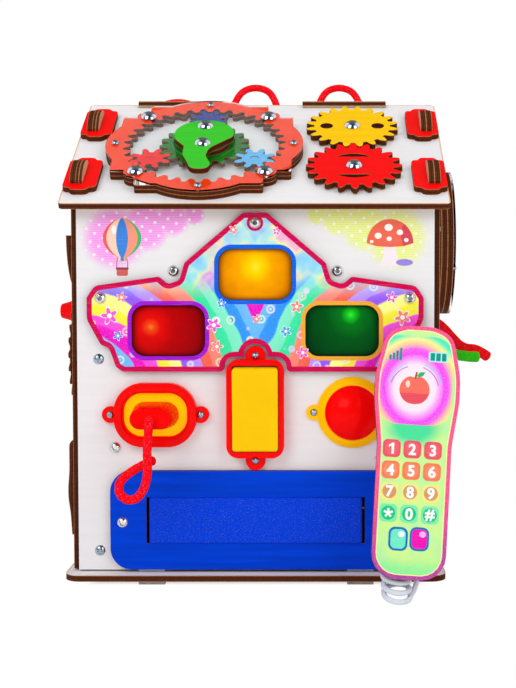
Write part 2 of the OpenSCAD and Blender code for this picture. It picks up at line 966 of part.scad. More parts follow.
// A coloured box that fits the window from behind and is closed at the front
module lens(place) {
    front = ply - lens_recess;
    w = window_w - 2 * lens_fit;
    h = window_h - 2 * lens_fit;
    on_front(place[0], place[1])
        difference() {
            union() {
                translate([0, 0, -ply - lens_depth])
                    linear_extrude(ply + lens_depth + front)
                        rounded_rect(w, h, window_r - lens_fit);
                translate([0, 0, -ply - flange_t])
                    linear_extrude(flange_t)
                        rounded_rect(w + 2 * flange_lip, h + 2 * flange_lip, window_r);
            }
            translate([0, 0, -ply - lens_depth - 1])
                linear_extrude(ply + lens_depth + front + 1 - lens_wall)
                    rounded_rect(w - 2 * lens_wall, h - 2 * lens_wall, window_r - lens_fit - lens_wall);
        }
}

module lens_yellow() {
    color("gold")
        lens(windows[0]);
}

module lens_red() {
    color("crimson")
        lens(windows[1]);
}

module lens_green() {
    color("darkgreen")
        lens(windows[2]);
}

module led_lamps() {
    color("white")
        for (i = [0:2])
            on_front(windows[i][0], windows[i][1])
                translate([0, 0, -ply - lens_depth - led_board_t]) {
                    linear_extrude(led_board_t)
                        rounded_rect(window_w - 1, window_h - 1, 3);
                    translate([led_spots[i][0], led_spots[i][1], 0])
                        rotate_extrude()
                            intersection() {
                                union() {
                                    square([led_d / 2, led_board_t + 6]);
                                    translate([0, led_board_t + 6])
                                        circle(led_d / 2);
                                }
                                square([led_d, led_board_t + 6 + led_d]);
                            }
                }
}

// Plug socket

module ear_holes(places, top) {
    for (p = places)
        translate([p[0], p[1], top])
            drill(small_screw[2] + 2 * hole_gap, top + 1);
}

module socket_housing() {
    ears = [[-socket_ear, 0], [socket_ear, 0]];
    color("red")
        on_front(socket_x, socket_z)
            difference() {
                union() {
                    linear_extrude(socket_out)
                        rounded_rect(socket_w, socket_h, 19);
                    linear_extrude(ear_t)
                        for (p = ears)
                            translate(p)
                                circle(ear_r);
                }
                translate([0, 0, -1])
                    linear_extrude(socket_out + 2)
                        rounded_rect(insert_w + 2 * slot_gap, insert_h + 2 * slot_gap, 12);
                translate([0, 0, socket_out - 2])
                    linear_extrude(3)
                        rounded_rect(insert_w + 2.4, insert_h + 2.4, 13);
                for (p = ears)
                    translate([p[0], p[1], ear_t])
                        cylinder(d = small_screw[0] + 1, h = socket_out);
                ear_holes(ears, ear_t);
            }
}

module socket_insert() {
    color("gold")
        on_front(socket_x, socket_z)
            difference() {
                linear_extrude(insert_t)
                    rounded_rect(insert_w, insert_h, 12);
                for (x = [-plug_pin_x, plug_pin_x])
                    translate([x, 0, insert_t])
                        drill(plug_pin_d + 2 * seat_gap, insert_t + 1);
            }
}

plug_end_y = front_y - insert_t - seat_gap - plug_l;

// The plug stands on the insert and its two pins reach through the wall
module plug() {
    pin_l = ply + insert_t + seat_gap;
    side = (plug_w - plug_h) / 2;
    color("red")
        on_front(socket_x, socket_z)
            translate([0, 0, insert_t + seat_gap]) {
                for (x = [-side, side])
                    translate([x, 0, 0])
                        cylinder(d1 = plug_h, d2 = plug_tip_h, h = plug_l);
                translate([-side, 0, 0])
                    rotate([90, 0, 90])
                        linear_extrude(2 * side)
                            polygon([
                                [-plug_h / 2, 0], [plug_h / 2, 0],
                                [plug_tip_h / 2, plug_l], [-plug_tip_h / 2, plug_l]
                            ]);
                for (x = [-plug_pin_x, plug_pin_x])
                    translate([x, 0, -pin_l])
                        cylinder(d = plug_pin_d, h = pin_l + 1);
            }
}

module plug_cord() {
    color("crimson")
        tube(concat([[socket_x, plug_end_y, socket_z]], smooth(plug_cord_route, 2)), rope_d, 10, [1, 0, 0]);
}

// Rocker key

module key_housing() {
    ears = [[0, -key_ear], [0, key_ear]];
    slot = rocker_l + 2 * key_rim;
    color("red")
        on_front(0, key_z)
            difference() {
                union() {
                    linear_extrude(key_out)
                        rounded_rect(key_w, key_h, 8);
                    linear_extrude(ear_t)
                        for (p = ears)
                            translate(p)
                                circle(ear_r + 1);
                }
                translate([0, 0, -1])
                    linear_extrude(key_out + 2)
                        rounded_rect(rocker_w + 2 * turn_gap, slot, 2);
                for (p = ears)
                    translate([p[0], p[1], ear_t])
                        cylinder(d = small_screw[0] + 1, h = key_out);
                ear_holes(ears, ear_t);
                translate([-rocker_w / 2 - 3, 0, key_pin_z])
                    rotate([0, 90, 0])
                        cylinder(d = key_pin_d + 2 * shaft_gap, h = rocker_w + 6);
            }
}

module rocker_key() {
    half = rocker_l / 2;
    color("gold")
        on_front(0, key_z)
            translate([0, 0, key_pin_z])
                rotate([rocker_tilt, 0, 0]) {
                    intersection() {
                        rotate([90, 0, 90])
                            translate([0, 0, -rocker_w / 2])
                                linear_extrude(rocker_w)
                                    polygon(rounded([
                                        [-half, -0.5, 0.5], [0, -3.4, 0], [half, -0.5, 0.5],
                                        [half, 8, 1.6], [0, 6.4, 30], [-half, 8, 1.6]
                                    ]));
                        translate([0, 0, -5])
                            linear_extrude(15)
                                rounded_rect(rocker_w, rocker_l, 2.4);
                    }
                    translate([-rocker_w / 2 - 2.6, 0, 0])
                        rotate([0, 90, 0])
                            cylinder(d = key_pin_d, h = rocker_w + 5.2);
                }
}

// Push button

bore_d = button_d + 2 * seat_gap;
cup_d = sleeve_d - 2 * sleeve_wall;
button_flange_z = -seat_gap;

module button_housing() {
    ears = [[-button_ear, 0], [button_ear, 0]];
    color("gold")
        on_front(button_x, button_z)
            difference() {
                union() {
                    rotate_extrude()
                        polygon([
                            [0, 0], [button_ring_d / 2, 0], [button_ring_d / 2, 1.5],
                            [bore_d / 2 + 1.5, ring_out], [0, ring_out]
                        ]);
                    translate([0, 0, -sleeve_l])
                        cylinder(d = sleeve_d, h = sleeve_l + 1);
                    linear_extrude(2)
                        for (p = ears)
                            translate(p)
                                circle(ear_r - 0.5);
                }
                cylinder(d = bore_d, h = ring_out + 1);
                translate([0, 0, -sleeve_l + sleeve_wall])
                    cylinder(d = cup_d, h = sleeve_l - sleeve_wall);
                ear_holes(ears, 2);
            }
}

module push_button() {
    dome_r = (button_d * button_d / 4 + button_dome * button_dome) / (2 * button_dome);
    straight = ring_out + 1;
    color("red")
        on_front(button_x, button_z) {
            rotate_extrude()
                intersection() {
                    union() {
                        square([button_d / 2, straight + eps]);
                        translate([0, straight + button_dome - dome_r])
                            circle(dome_r, $fn = 96);
                    }
                    square([button_d / 2, straight + button_dome]);
                }
            translate([0, 0, button_flange_z - button_flange_t])
                cylinder(d = cup_d - 1, h = button_flange_t);
            translate([0, 0, -1])
                cylinder(d = button_d - 2, h = 2);
        }
}

// Least gap between the turns of a coil, measured on its points
function least_gap(pts, d, skip) =
    min([for (i = [0:len(pts) - 1 - skip], j = [i + skip:len(pts) - 1]) norm(pts[i] - pts[j])]) - d;

spring_low = -sleeve_l + sleeve_wall + spring_wire / 2;
spring_high = button_flange_z - button_flange_t - spring_wire / 2;
spring_points = [for (i = [0:8 * spring_turns])
    [
        (spring_d - spring_wire) / 2 * cos(45 * i),
        (spring_d - spring_wire) / 2 * sin(45 * i),
        spring_low + (spring_high - spring_low) * i / (8 * spring_turns)
    ]];

module button_spring() {
    echo(spring_gap = least_gap(spring_points, spring_wire, 6));
    color("silver")
        on_front(button_x, button_z)
            tube(spring_points, spring_wire, 6, [0, 0, 1]);
}

module small_screws() {
    color("silver") {
        for (i = [0:5])
            on_front(switch_ears[i][0], switch_ears[i][1])
                translate([0, 0, i < 4 ? ear_t : 2])
                    cross_screw(small_screw);
        for (a = [0:90:270])
            on_roof(set_x, set_up)
                rotate(a)
                    translate([ring_screw_r, 0, cover_top])
                        cross_screw([small_screw[0], small_screw[1], small_screw[2], cover_top + 2]);
        on_right(maze_y, maze_z)
            maze_screw_places()
                translate([0, 0, maze_top])
                    cross_screw([small_screw[0], small_screw[1], small_screw[2], maze_wall_t + cover_t + 2]);
    }
}

// Electric parts inside

module contact_switches() {
    color("dimgray") {
        on_front(socket_x, socket_z)
            translate([0, 0, -ply - 5])
                cube([30, 14, 10], center = true);
        on_front(0, key_z)
            translate([0, 0, -ply - 5])
                cube([12, 28, 10], center = true);
        on_front(button_x, button_z)
            translate([0, 0, -sleeve_l - 5])
                cube([20, 12, 10], center = true);
    }
}

module battery_box() {
    s = battery_box_size;
    color("black")
        translate([battery_box_at[0], battery_box_at[1], base_top])
            difference() {
                translate([-s[0] / 2, -s[1] / 2, 0])
                    cube(s);
                translate([-s[0] / 2 + battery_wall, -s[1] / 2 + battery_wall, battery_wall])
                    cube([s[0] - 2 * battery_wall, s[1] - 2 * battery_wall, s[2]]);
            }
}

module batteries() {
    color("darkgray")
        for (i = [-1, 0, 1])
            translate([
                battery_box_at[0] + i * (cell_d + 4),
                battery_box_at[1] - cell_l / 2,
                base_top + battery_wall + cell_d / 2
            ])
                rotate([-90, 0, 0]) {
                    cylinder(d = cell_d, h = cell_l - 1.5);
                    cylinder(d = 5.5, h = cell_l);
                }
}

module wiring() {
    color("firebrick")
        for (r = wire_routes)
            tube(concat(smooth(r, 2), [r[5] + [0, wire_end, 0]]), wire_d, 8, [1, 0, 0]);
}

// Blue panel and tape

module blue_panel() {
    color("mediumblue")
        on_front(0, panel_mid_z)
            difference() {
                linear_extrude(ply)
                    difference() {
                        rounded_rect(panel_w, panel_h, panel_r);
                        for (x = [-slot_x, slot_x])
                            translate([x, 0])
                                square([slot_w, tape_w + 1], center = true);
                    }
                for (p = panel_screw_places)
                    translate([p[0], p[1] - panel_mid_z, ply])
                        drill(button_screw[2] + 2 * hole_gap, ply + 1);
            }
}

// One length of tape: across the panel, back through both slots and folded out behind the wall
module hook_strip() {
    tail = 14;
    inner = slot_x - slot_w / 2 + 0.15;
    reach = inner + tape_t;
    color("royalblue")
        on_front(0, panel_mid_z)
            translate([0, tape_w / 2, 0])
                rotate([90, 0, 0])
                    linear_extrude(tape_w) {
                        translate([-reach, ply])
                            square([2 * reach, tape_t]);
                        for (m = [0, 1])
                            mirror([m, 0]) {
                                translate([inner, -ply - tape_t])
                                    square([tape_t, 2 * ply + 2 * tape_t]);
                                translate([inner - tail, -ply - tape_t])
                                    square([tail, tape_t]);
                            }
                    }
}

// Planetary gear set on the roof

module ring_outline() {
    rounded_rect(2 * ring_half_x, 80, ring_corner_r);
    rounded_rect(84, 2 * ring_half_s, ring_corner_r);
    for (a = [0:90:270])
        rotate(a)
            translate([ring_reach - ring_lobe_r, 0])
                circle(ring_lobe_r, $fn = 96);
    for (x = [-1, 1], s = [-1, 1])
        translate([x * ring_bolt[0], s * ring_bolt[1]])
            circle(ring_bolt_lobe_r);
}

module ring_holes() {
    for (x = [-1, 1], s = [-1, 1])
        translate([x * ring_bolt[0], s * ring_bolt[1]])
            circle(d = bolt_d + 2 * hole_gap);
    for (a = [0:90:270])
        rotate(a)
            translate([ring_screw_r, 0])
                circle(d = small_screw[2] + 2 * hole_gap);
}

module ring_gear() {
    color("orangered")
        on_roof(set_x, set_up)
            for (z = [0, ring_ply + glue_line])
                translate([0, 0, z])
                    linear_extrude(ring_ply)
                        difference() {
                            ring_outline();
                            rotate(90 + 180 / ring_teeth)
                                polygon(gear_points(ring_teeth, ring_root, ring_tip, -backlash));
                            ring_holes();
                        }
}

module gear_cover() {
    color("azure", 0.3)
        on_roof(set_x, set_up)
            translate([0, 0, ring_h])
                linear_extrude(cover_t)
                    difference() {
                        ring_outline();
                        circle(cover_hole_r);
                        ring_holes();
                    }
}

module planet_carrier() {
    color("whitesmoke")
        on_roof(set_x, set_up)
            translate([0, 0, carrier_z]) {
                linear_extrude(carrier_t)
                    difference() {
                        union() {
                            circle(8);
                            for (a = planet_angles)
                                rotate(a) {
                                    translate([0, -4])
                                        square([orbit_r, 8]);
                                    translate([orbit_r, 0])
                                        circle(5);
                                }
                        }
                        circle(d = bolt_d + 2 * shaft_gap);
                    }
                for (a = planet_angles)
                    rotate(a)
                        translate([orbit_r, 0, 0])
                            cylinder(r = planet_pin_r, h = carrier_t + turn_gap + gear_t - 0.5);
            }
}

module planet(angle) {
    on_roof(set_x, set_up)
        translate([orbit_r * cos(angle), orbit_r * sin(angle), gear_z])
            linear_extrude(gear_t)
                difference() {
                    rotate(planet_phase(angle))
                        gear_outline(planet_teeth);
                    circle(planet_pin_r + shaft_gap);
                }
}

module planet_blue() {
    color("royalblue")
        planet(planet_angles[0]);
}

module planet_red() {
    color("red")
        planet(planet_angles[1]);
}

module planet_light_blue() {
    color("lightskyblue")
        planet(planet_angles[2]);
}

// The sun gear's boss rises through the cover's hand hole and carries the knob
module sun_gear() {
    head_room = dome_d / 2 + 0.5;
    head_z = sun_floor;
    color("forestgreen")
        on_roof(set_x, set_up)
            translate([0, 0, gear_z])
                difference() {
                    union() {
                        linear_extrude(gear_t)
                            rotate(90)
                                gear_outline(sun_teeth);
                        cylinder(r = boss_r, h = boss_h);
                    }
                    translate([0, 0, -1])
                        cylinder(d = bolt_d + 2 * shaft_gap, h = boss_h + 2);
                    translate([0, 0, head_z])
                        cylinder(r = head_room, h = boss_h);
                    for (s = [-knob_bolt_s, knob_bolt_s])
                        translate([0, s, boss_h])
                            drill(button_screw[2] + 2 * hole_gap, boss_h - 1);
                }
}

// Comma-shaped knob: a round head that runs out into a curved tail
knob_outline = [
    [-20.3, -6, 20], [-20.3, 21.1, 20], [20.3, 21.1, 20], [20.3, -3.5, 8], [4.6, -21, 14], [3.2, -32, 8],
    [7.2, -43.6, 5], [5.4, -50.4, 5], [-5.4, -50.4, 6], [-8, -42, 8], [-12.2, -30, 12], [-12.2, -17.6, 2]
];

module turn_knob() {
    color("limegreen")
        on_roof(set_x, set_up)
            translate([0, 0, knob_z])
                difference() {
                    linear_extrude(ply)
                        polygon(rounded(knob_outline));
                    for (s = [-knob_bolt_s, knob_bolt_s])
                        translate([0, s, ply])
                            drill(button_screw[2] + 2 * hole_gap, ply + 1);
                }
}

module knob_bolts() {
    color("silver")
        on_roof(set_x, set_up)
            for (s = [-knob_bolt_s, knob_bolt_s])
                translate([0, s, knob_z + ply])
                    turned_screw([dome_d, dome_h, button_screw[2], ply + 6]);
}

// Yellow and red gear, each turning on a dome bolt

module pair_gear(s, phase) {
    on_roof(pair_x, pair_up + s)
        translate([0, 0, pair_z])
            linear_extrude(ply)
                difference() {
                    rotate(phase)
                        gear_outline(pair_teeth);
                    circle(d = bolt_d + 2 * shaft_gap);
                    children();
                }
}

module yellow_gear() {
    hole_x = 18;
    color("gold")
        pair_gear(pair_d / 2, -90 + 180 / pair_teeth)
            for (x = [-hole_x, hole_x])
                translate([x, 0])
                    circle(4.5);
}

// Two slots with a straight inner edge and an arched outer edge
module red_gear() {
    arc_r = 17.2;
    chord = 12.6;
    color("red")
        pair_gear(-pair_d / 2, 90)
            for (m = [0, 1])
                mirror([0, m])
                    intersection() {
                        circle(arc_r, $fn = 96);
                        translate([-arc_r, chord])
                            square([2 * arc_r, arc_r]);
                    }
}

gear_head_z = pair_z + ply + turn_gap;
sun_head_z = gear_z + sun_floor + turn_gap;

module dome_bolts() {
    color("silver") {
        for (i = [0:6])
            on_roof(roof_bolts[i][0], roof_bolts[i][1]) {
                head = i < 4 ? cover_top : i == 4 ? sun_head_z : gear_head_z;
                translate([0, 0, head])
                    dome_bolt(head + ply + nut_t + 1);
            }
        on_left(side_gear_at[0], side_gear_at[1])
            translate([0, 0, gear_head_z])
                dome_bolt(gear_head_z + ply + nut_t + 1);
    }
}

module bolt_nuts() {
    color("silver") {
        for (p = roof_bolts)
            on_roof(p[0], p[1])
                translate([0, 0, -ply - nut_t])
                    nut();
        on_left(side_gear_at[0], side_gear_at[1])
            translate([0, 0, -ply - nut_t])
                nut();
    }
}

// Left wall

module left_half_plate() {
    color("sienna")
        on_left(half_plate_at[0], half_plate_at[1])
            linear_extrude(ply)
                intersection() {
                    circle(half_plate_r);
                    translate([-half_plate_r, -half_plate_r])
                        square([2 * half_plate_r, half_plate_r]);
                }
}

module left_wave_plate() {
    low = wave_edge[5][1];
    high = wave_edge[0][1];
    color("sienna")
        on_left(0, 0)
            linear_extrude(ply)
                polygon(rounded(concat(
                    [[-wave_back, low, 3], [-wave_back, high, 3]],
                    [for (p = wave_edge) [-p[0], p[1], p[2]]]
                )));
}

module side_gear() {
    color("red")
        on_left(side_gear_at[0], side_gear_at[1])
            translate([0, 0, pair_z])
                linear_extrude(ply)
                    difference() {
                        gear_outline(side_teeth);
                        circle(d = bolt_d + 2 * shaft_gap);
                    }
}

// Truncated cone that the gear is turned by
module side_knob() {
    color("red")
        on_left(side_gear_at[0], side_gear_at[1])
            translate([0, side_knob_r, pair_z + ply])
                rotate_extrude()
                    polygon([
                        [0, 0], [8.4, 0], [5, side_knob_h - 0.8], [4.2, side_knob_h], [0, side_knob_h]
                    ]);
}

// Round maze on the right wall

maze_floor = 2 * ply;
maze_top = maze_floor + maze_wall_t + cover_t;

module maze_back() {
    color("burlywood")
        on_right(maze_y, maze_z)
            difference() {
                cylinder(d = maze_d, h = maze_floor, $fn = 96);
                maze_screw_places()
                    translate([0, 0, maze_floor])
                        drill(small_screw[2] + 2 * hole_gap, 2.5);
            }
}

module maze_screw_places() {
    for (a = [0:90:270])
        rotate(maze_screw_a + a)
            translate([maze_screw_r, 0])
                children();
}

// Rim and island of one red sheet, with two round lanes joined by a gate
module maze_walls() {
    color("red")
        on_right(maze_y, maze_z)
            translate([0, 0, maze_floor])
                linear_extrude(maze_wall_t)
                    difference() {
                        circle(d = maze_d, $fn = 96);
                        difference() {
                            circle(maze_lane_r[3]);
                            circle(maze_lane_r[2]);
                        }
                        difference() {
                            circle(maze_lane_r[1]);
                            circle(maze_lane_r[0]);
                        }
                        translate([-maze_gate / 2, maze_lane_r[1] - 1])
                            square([maze_gate, maze_lane_r[2] - maze_lane_r[1] + 2]);
                        maze_screw_places()
                            circle(d = small_screw[2] + 2 * hole_gap);
                    }
}

module maze_cover() {
    color("azure", 0.3)
        on_right(maze_y, maze_z)
            translate([0, 0, maze_floor + maze_wall_t])
                linear_extrude(cover_t)
                    difference() {
                        circle(d = maze_d, $fn = 96);
                        maze_screw_places()
                            circle(d = small_screw[2] + 2 * hole_gap);
                    }
}

module maze_ball() {
    color("silver")
        on_right(maze_y, maze_z)
            translate([0, -ball_r, maze_floor + seat_gap + ball_d / 2])
                sphere(d = ball_d);
}

// Cords and laces

// One cord in three bights: up through a hole, over, and down through the next
lace_under = 12;
lace_knot = 10;
function bight(i) =
    let (a = lace_holes[2 * i], b = lace_holes[2 * i + 1], h = lace_peaks[i], w = (b - a) / 2)
    [
        [a, -ply - 1], [a, 0.5], [a + w * 0.05, h * 0.42], [a + w * 0.4, h * 0.86],
        [a + w, h], [b - w * 0.4, h * 0.86], [b - w * 0.05, h * 0.42], [b, 0.5], [b, -ply - 1]
    ];
function under_run(i) =
    let (a = lace_holes[2 * i + 1], b = lace_holes[2 * i + 2], w = b - a)
    [[a + w * 0.2, -ply - lace_under * 0.8], [a + w * 0.5, -ply - lace_under], [b - w * 0.2, -ply - lace_under * 0.8]];
lace_flat = concat(
    [[lace_holes[0], -ply - lace_knot]],
    bight(0), under_run(0), bight(1), under_run(1), bight(2),
    [[lace_holes[5], -ply - lace_knot]]
);

module roof_lace() {
    color("red")
        on_back_roof(0, roof_len - lace_step)
            tube(smooth([for (p = lace_flat) [p[0], 0, p[1]]], 2), rope_d - 0.4, 8, [0, 1, 0]);
}

module red_lace() {
    color("red")
        sweep(smooth(red_lace_route, 2), lace_w, lace_t, 8, [0, 0, 1]);
}

module green_lace() {
    color("green")
        sweep(smooth(green_lace_route, 2), lace_w, lace_t, 8, [0, 0, 1]);
}

// Curly cord: it lies on the table under the phone's end and climbs behind the phone. Each list
// pairs a turn with a value: place across, place in depth, and lean of the loop
curl_x = [[0, 90.4], [12, 88]];
curl_y = [[0, -44.7], [1, -44], [2, -41.8], [3, -37], [4, -35.2], [6, -33], [12, -26]];
curl_lean = [[0, 20], [1, 16], [2, 9], [3, 1], [4, -6], [5, -11], [6, -14], [12, -14]];
curl_r = (curl_d - curl_cord_d) / 2;
curl_z = 3.4;
curl_pitch = 4.8;
curl_steps = 8;
curl_points = [for (i = [0:curl_steps * (curl_count - 0.5)])
    let (t = i / curl_steps, a = -360 * t, b = lookup(t, curl_lean))
    [lookup(t, curl_x), front_y + lookup(t, curl_y), curl_z + curl_pitch * t]
        + curl_r * [cos(a), sin(a) * cos(b), sin(a) * sin(b)]];
phone_cord_points = concat([curl_tail[0]], smooth([for (i = [1:6]) curl_tail[i]], 2), curl_points, smooth(curl_end, 2));

module phone_cord() {
    echo(curl_gap = least_gap(phone_cord_points, curl_cord_d, 6));
    color("white")
        tube(phone_cord_points, curl_cord_d, 6, [1, 0, 0]);
}

// Phone

// Half outline of the phone, from the top down its right side, with corner radii
module phone_outline() {
    w = phone_w / 2;
    g = grip_w / 2;
    l = phone_l;
    polygon(rounded(mirrored([
        [w / 3, l, 20], [w - 5.5, l - 5, 14], [w, l - 32, 60], [w, l - 48, 60],
        [g + 0.3, l - 76, 60], [g, 1, 15.5], [7, 0, 8]
    ])));
}

module phone() {
    color("hotpink")
        difference() {
            on_phone()
                linear_extrude(phone_t)
                    phone_outline();
            translate([peg_at[0], front_y, peg_at[1] - peg_hole_r + peg_d / 2 + seat_gap])
                rotate([90, 0, 0])
                    cylinder(r = peg_hole_r, h = peg_reach + 1);
        }
}

// Distance from the front wall's face to the phone's back, at the height of the peg
phone_back_y = phone_at[1] + (peg_at[1] - phone_at[2]) * tan(phone_lean);
peg_reach = front_y - phone_back_y + phone_hole_depth;

module phone_peg() {
    color("burlywood")
        on_front(peg_at[0], peg_at[1])
            translate([0, 0, -ply])
                cylinder(d = peg_d, h = ply + peg_reach);
}

base_plate();
front_wall();
back_wall();
left_wall();
right_wall();
gable_doublers();
front_roof();
back_roof();
roof_lock_plates();
corner_posts();
wall_screws();
light_plaque();
panel_screws();
lens_yellow();
lens_red();
lens_green();
led_lamps();
socket_housing();
socket_insert();
key_housing();
button_housing();
button_spring();
small_screws();
contact_switches();
battery_box();
batteries();
wiring();
blue_panel();
hook_strip();
ring_gear();
gear_cover();
dome_bolts();
bolt_nuts();
left_half_plate();
left_wave_plate();
maze_back();
maze_walls();
maze_cover();
roof_lace();
red_lace();
green_lace();
phone_cord();
phone_peg();
planet_carrier();
planet_red();
planet_light_blue();
planet_blue();
sun_gear();
turn_knob();
knob_bolts();
yellow_gear();
red_gear();
side_gear();
side_knob();
rocker_key();
push_button();
plug();
plug_cord();
phone();
maze_ball();
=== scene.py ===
"""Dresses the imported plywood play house: paints, prints, lamps, cords, covers and stage."""

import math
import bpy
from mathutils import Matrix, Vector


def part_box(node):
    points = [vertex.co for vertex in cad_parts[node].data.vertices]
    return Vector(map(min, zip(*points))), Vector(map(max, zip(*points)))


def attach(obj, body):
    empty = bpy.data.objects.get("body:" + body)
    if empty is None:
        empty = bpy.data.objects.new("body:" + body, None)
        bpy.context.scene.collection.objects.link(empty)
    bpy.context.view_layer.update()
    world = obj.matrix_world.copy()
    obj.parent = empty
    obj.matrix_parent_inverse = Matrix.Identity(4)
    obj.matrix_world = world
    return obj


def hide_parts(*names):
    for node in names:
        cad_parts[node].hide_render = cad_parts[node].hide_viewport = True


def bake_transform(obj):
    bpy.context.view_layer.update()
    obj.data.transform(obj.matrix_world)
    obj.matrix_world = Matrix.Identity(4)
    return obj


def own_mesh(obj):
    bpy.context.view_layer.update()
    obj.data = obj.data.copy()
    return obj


bl_info = {
    "name": "Busy house",
    "version": (1, 0, 0),
    "blender": (4, 5, 0),
    "location": "3D View > Sidebar > Busy house",
    "description": "Paints, prints, lamps, cords, covers and stage of a plywood play house",
    "category": "Object",
}

import bmesh
import bpy
from mathutils import Matrix, Vector

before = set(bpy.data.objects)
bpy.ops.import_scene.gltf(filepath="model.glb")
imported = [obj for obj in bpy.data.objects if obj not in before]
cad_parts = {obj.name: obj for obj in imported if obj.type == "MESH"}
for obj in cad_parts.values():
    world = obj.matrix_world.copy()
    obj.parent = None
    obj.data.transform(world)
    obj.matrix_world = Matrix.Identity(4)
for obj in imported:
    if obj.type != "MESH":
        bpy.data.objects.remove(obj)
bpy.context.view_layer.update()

MM = 0.001
HOUSE = "house"

# Flat frames of the house, in millimetres: x and y lie in the face, z points out of it
FRONT_Y = -112.0
ROOF_PITCH = math.radians(32)
EAVE = Vector((0, -125.935, 250.309))
ROOF_LEN, ROOF_HALF = 148.5, 126.25
BASE_HALF = 125.0
PHONE_THICK = 8.0
SHEET = 4.0

# Middles of the plaque's windows on the front, and half their size
WINDOWS = {"top": (0, 205), "left": (-56.7, 168.3), "right": (56.7, 168.3)}
WINDOW_HALF = (23.7, 16.4)


def turned(axis, degrees):
    return Matrix.Rotation(math.radians(degrees), 4, axis)


LEVEL = Matrix.Identity(4)
FRONT = Matrix.Translation((0, FRONT_Y, 0)) @ turned("X", 90)
SIDE = turned("Y", 90)
ROOF = Matrix.Translation(EAVE) @ Matrix.Rotation(ROOF_PITCH, 4, "X")
BACK = turned("X", -90)
PHONE = Matrix.Translation((96.2, -160, 14.9)) @ turned("X", 76) @ turned("Z", -3.8)
UP = Vector((0, 0, 1))
OUT_FRONT = Vector((0, -1, 0))
OUT_RIGHT = Vector((1, 0, 0))
OUT_ROOF = Vector((0, -math.sin(ROOF_PITCH), math.cos(ROOF_PITCH)))
OUT_BACK_ROOF = Vector((0, math.sin(ROOF_PITCH), math.cos(ROOF_PITCH)))
OUT_PHONE = (PHONE.to_3x3() @ UP).normalized()


def paint(code):
    """Linear colour of a six-digit paint code."""
    values = [int(code[i : i + 2], 16) / 255 for i in (0, 2, 4)]
    return tuple(v / 12.92 if v <= 0.04045 else ((v + 0.055) / 1.055) ** 2.4 for v in values)


def shaded(colour, share):
    return tuple(min(1.0, c * share) for c in colour)


# ---------------------------------------------------------------- sizes and colours


def colour_property(name, description, code):
    return bpy.props.FloatVectorProperty(
        name=name, description=description, default=paint(code), size=3, min=0, max=1, subtype="COLOR"
    )


def length_property(name, description, default):
    return bpy.props.FloatProperty(
        name=name, description=description, default=default, min=0, unit="LENGTH", subtype="DISTANCE"
    )


class HousePaints(bpy.types.PropertyGroup):
    """Paints of the plywood sheets."""

    white: colour_property("White", "Paint of walls, roof and base", "ebe9ea")
    red: colour_property("Red", "Paint of lock plates and red gears", "f90806")
    ring_red: colour_property("Ring red", "Paint of the ring under the cover", "ff3c00")
    yellow: colour_property("Yellow", "Paint of the yellow gear", "fdc600")
    green: colour_property("Green", "Paint of the sun gear", "067a12")
    light_green: colour_property("Light green", "Paint of the turning knob", "3cc62c")
    blue: colour_property("Blue", "Paint of the blue planet gear", "10308c")
    light_blue: colour_property("Light blue", "Paint of the light blue planet gear", "63b9ee")
    panel_blue: colour_property("Panel blue", "Paint of the tape panel", "003fd0")
    burnt: colour_property("Burnt edge", "Laser-burnt edges of the sheets", "5c2610")
    tan: colour_property("Scorched rim", "Pale rim beside a burnt edge", "c98e5c")
    bare: colour_property("Bare wood", "Plywood without paint", "d9b98f")


class HousePrints(bpy.types.PropertyGroup):
    """Printed borders, rims and keys."""

    border: colour_property("Plaque border", "Border of the light plaque", "d00650")
    border_width: length_property("Border width", "Width of the plaque's border", 0.0034)
    rim_width: length_property("Rim width", "Width of the windows' rims", 0.0027)
    rim_top: colour_property("Upper rim", "Rim of the upper window", "0b62e0")
    rim_left: colour_property("Left rim", "Rim of the left window", "a116d0")
    rim_right: colour_property("Right rim", "Rim of the right window", "f0a93a")
    phone_border: colour_property("Phone border", "Border of the phone", "f84c86")
    phone_border_low: colour_property("Phone border below", "Border at the phone's lower end", "b8389c")
    phone_border_width: length_property("Phone border width", "Width of the phone's border", 0.0025)
    key: length_property("Key", "Side of a printed key", 0.0112)


class HouseCords(bpy.types.PropertyGroup):
    """Cords, laces and tape."""

    rope: length_property("Rope", "Diameter of the plug's rope", 0.0056)
    roof_cord: length_property("Roof cord", "Diameter of the cord behind the ridge", 0.0052)
    curly: length_property("Curly cord", "Diameter of the phone's cord", 0.0034)
    lace: length_property("Lace", "Width of a lace", 0.007)
    lace_thick: length_property("Lace thickness", "Thickness of a lace", 0.0022)
    tape: length_property("Tape", "Width of the hook-and-loop tape", 0.0294)
    rope_red: colour_property("Rope red", "Colour of ropes and the red lace", "ff0416")
    lace_green: colour_property("Lace green", "Colour of the green lace", "35cc12")
    tape_blue: colour_property("Tape blue", "Colour of the hook-and-loop tape", "0448f2")


class HouseStage(bpy.types.PropertyGroup):
    """Camera and light."""

    lens: bpy.props.FloatProperty(name="Lens", description="Focal length", default=66.8, unit="CAMERA")
    key_light: bpy.props.FloatProperty(name="Key", description="Power of the left lamp", default=8.6, unit="POWER")
    fill_light: bpy.props.FloatProperty(name="Fill", description="Power of the right lamp", default=5.4, unit="POWER")
    top_light: bpy.props.FloatProperty(name="Top", description="Power of the upper lamp", default=3.4, unit="POWER")
    sky: bpy.props.FloatProperty(name="Sky", description="Strength of the even light", default=0.56, min=0)


# ---------------------------------------------------------------- finishes


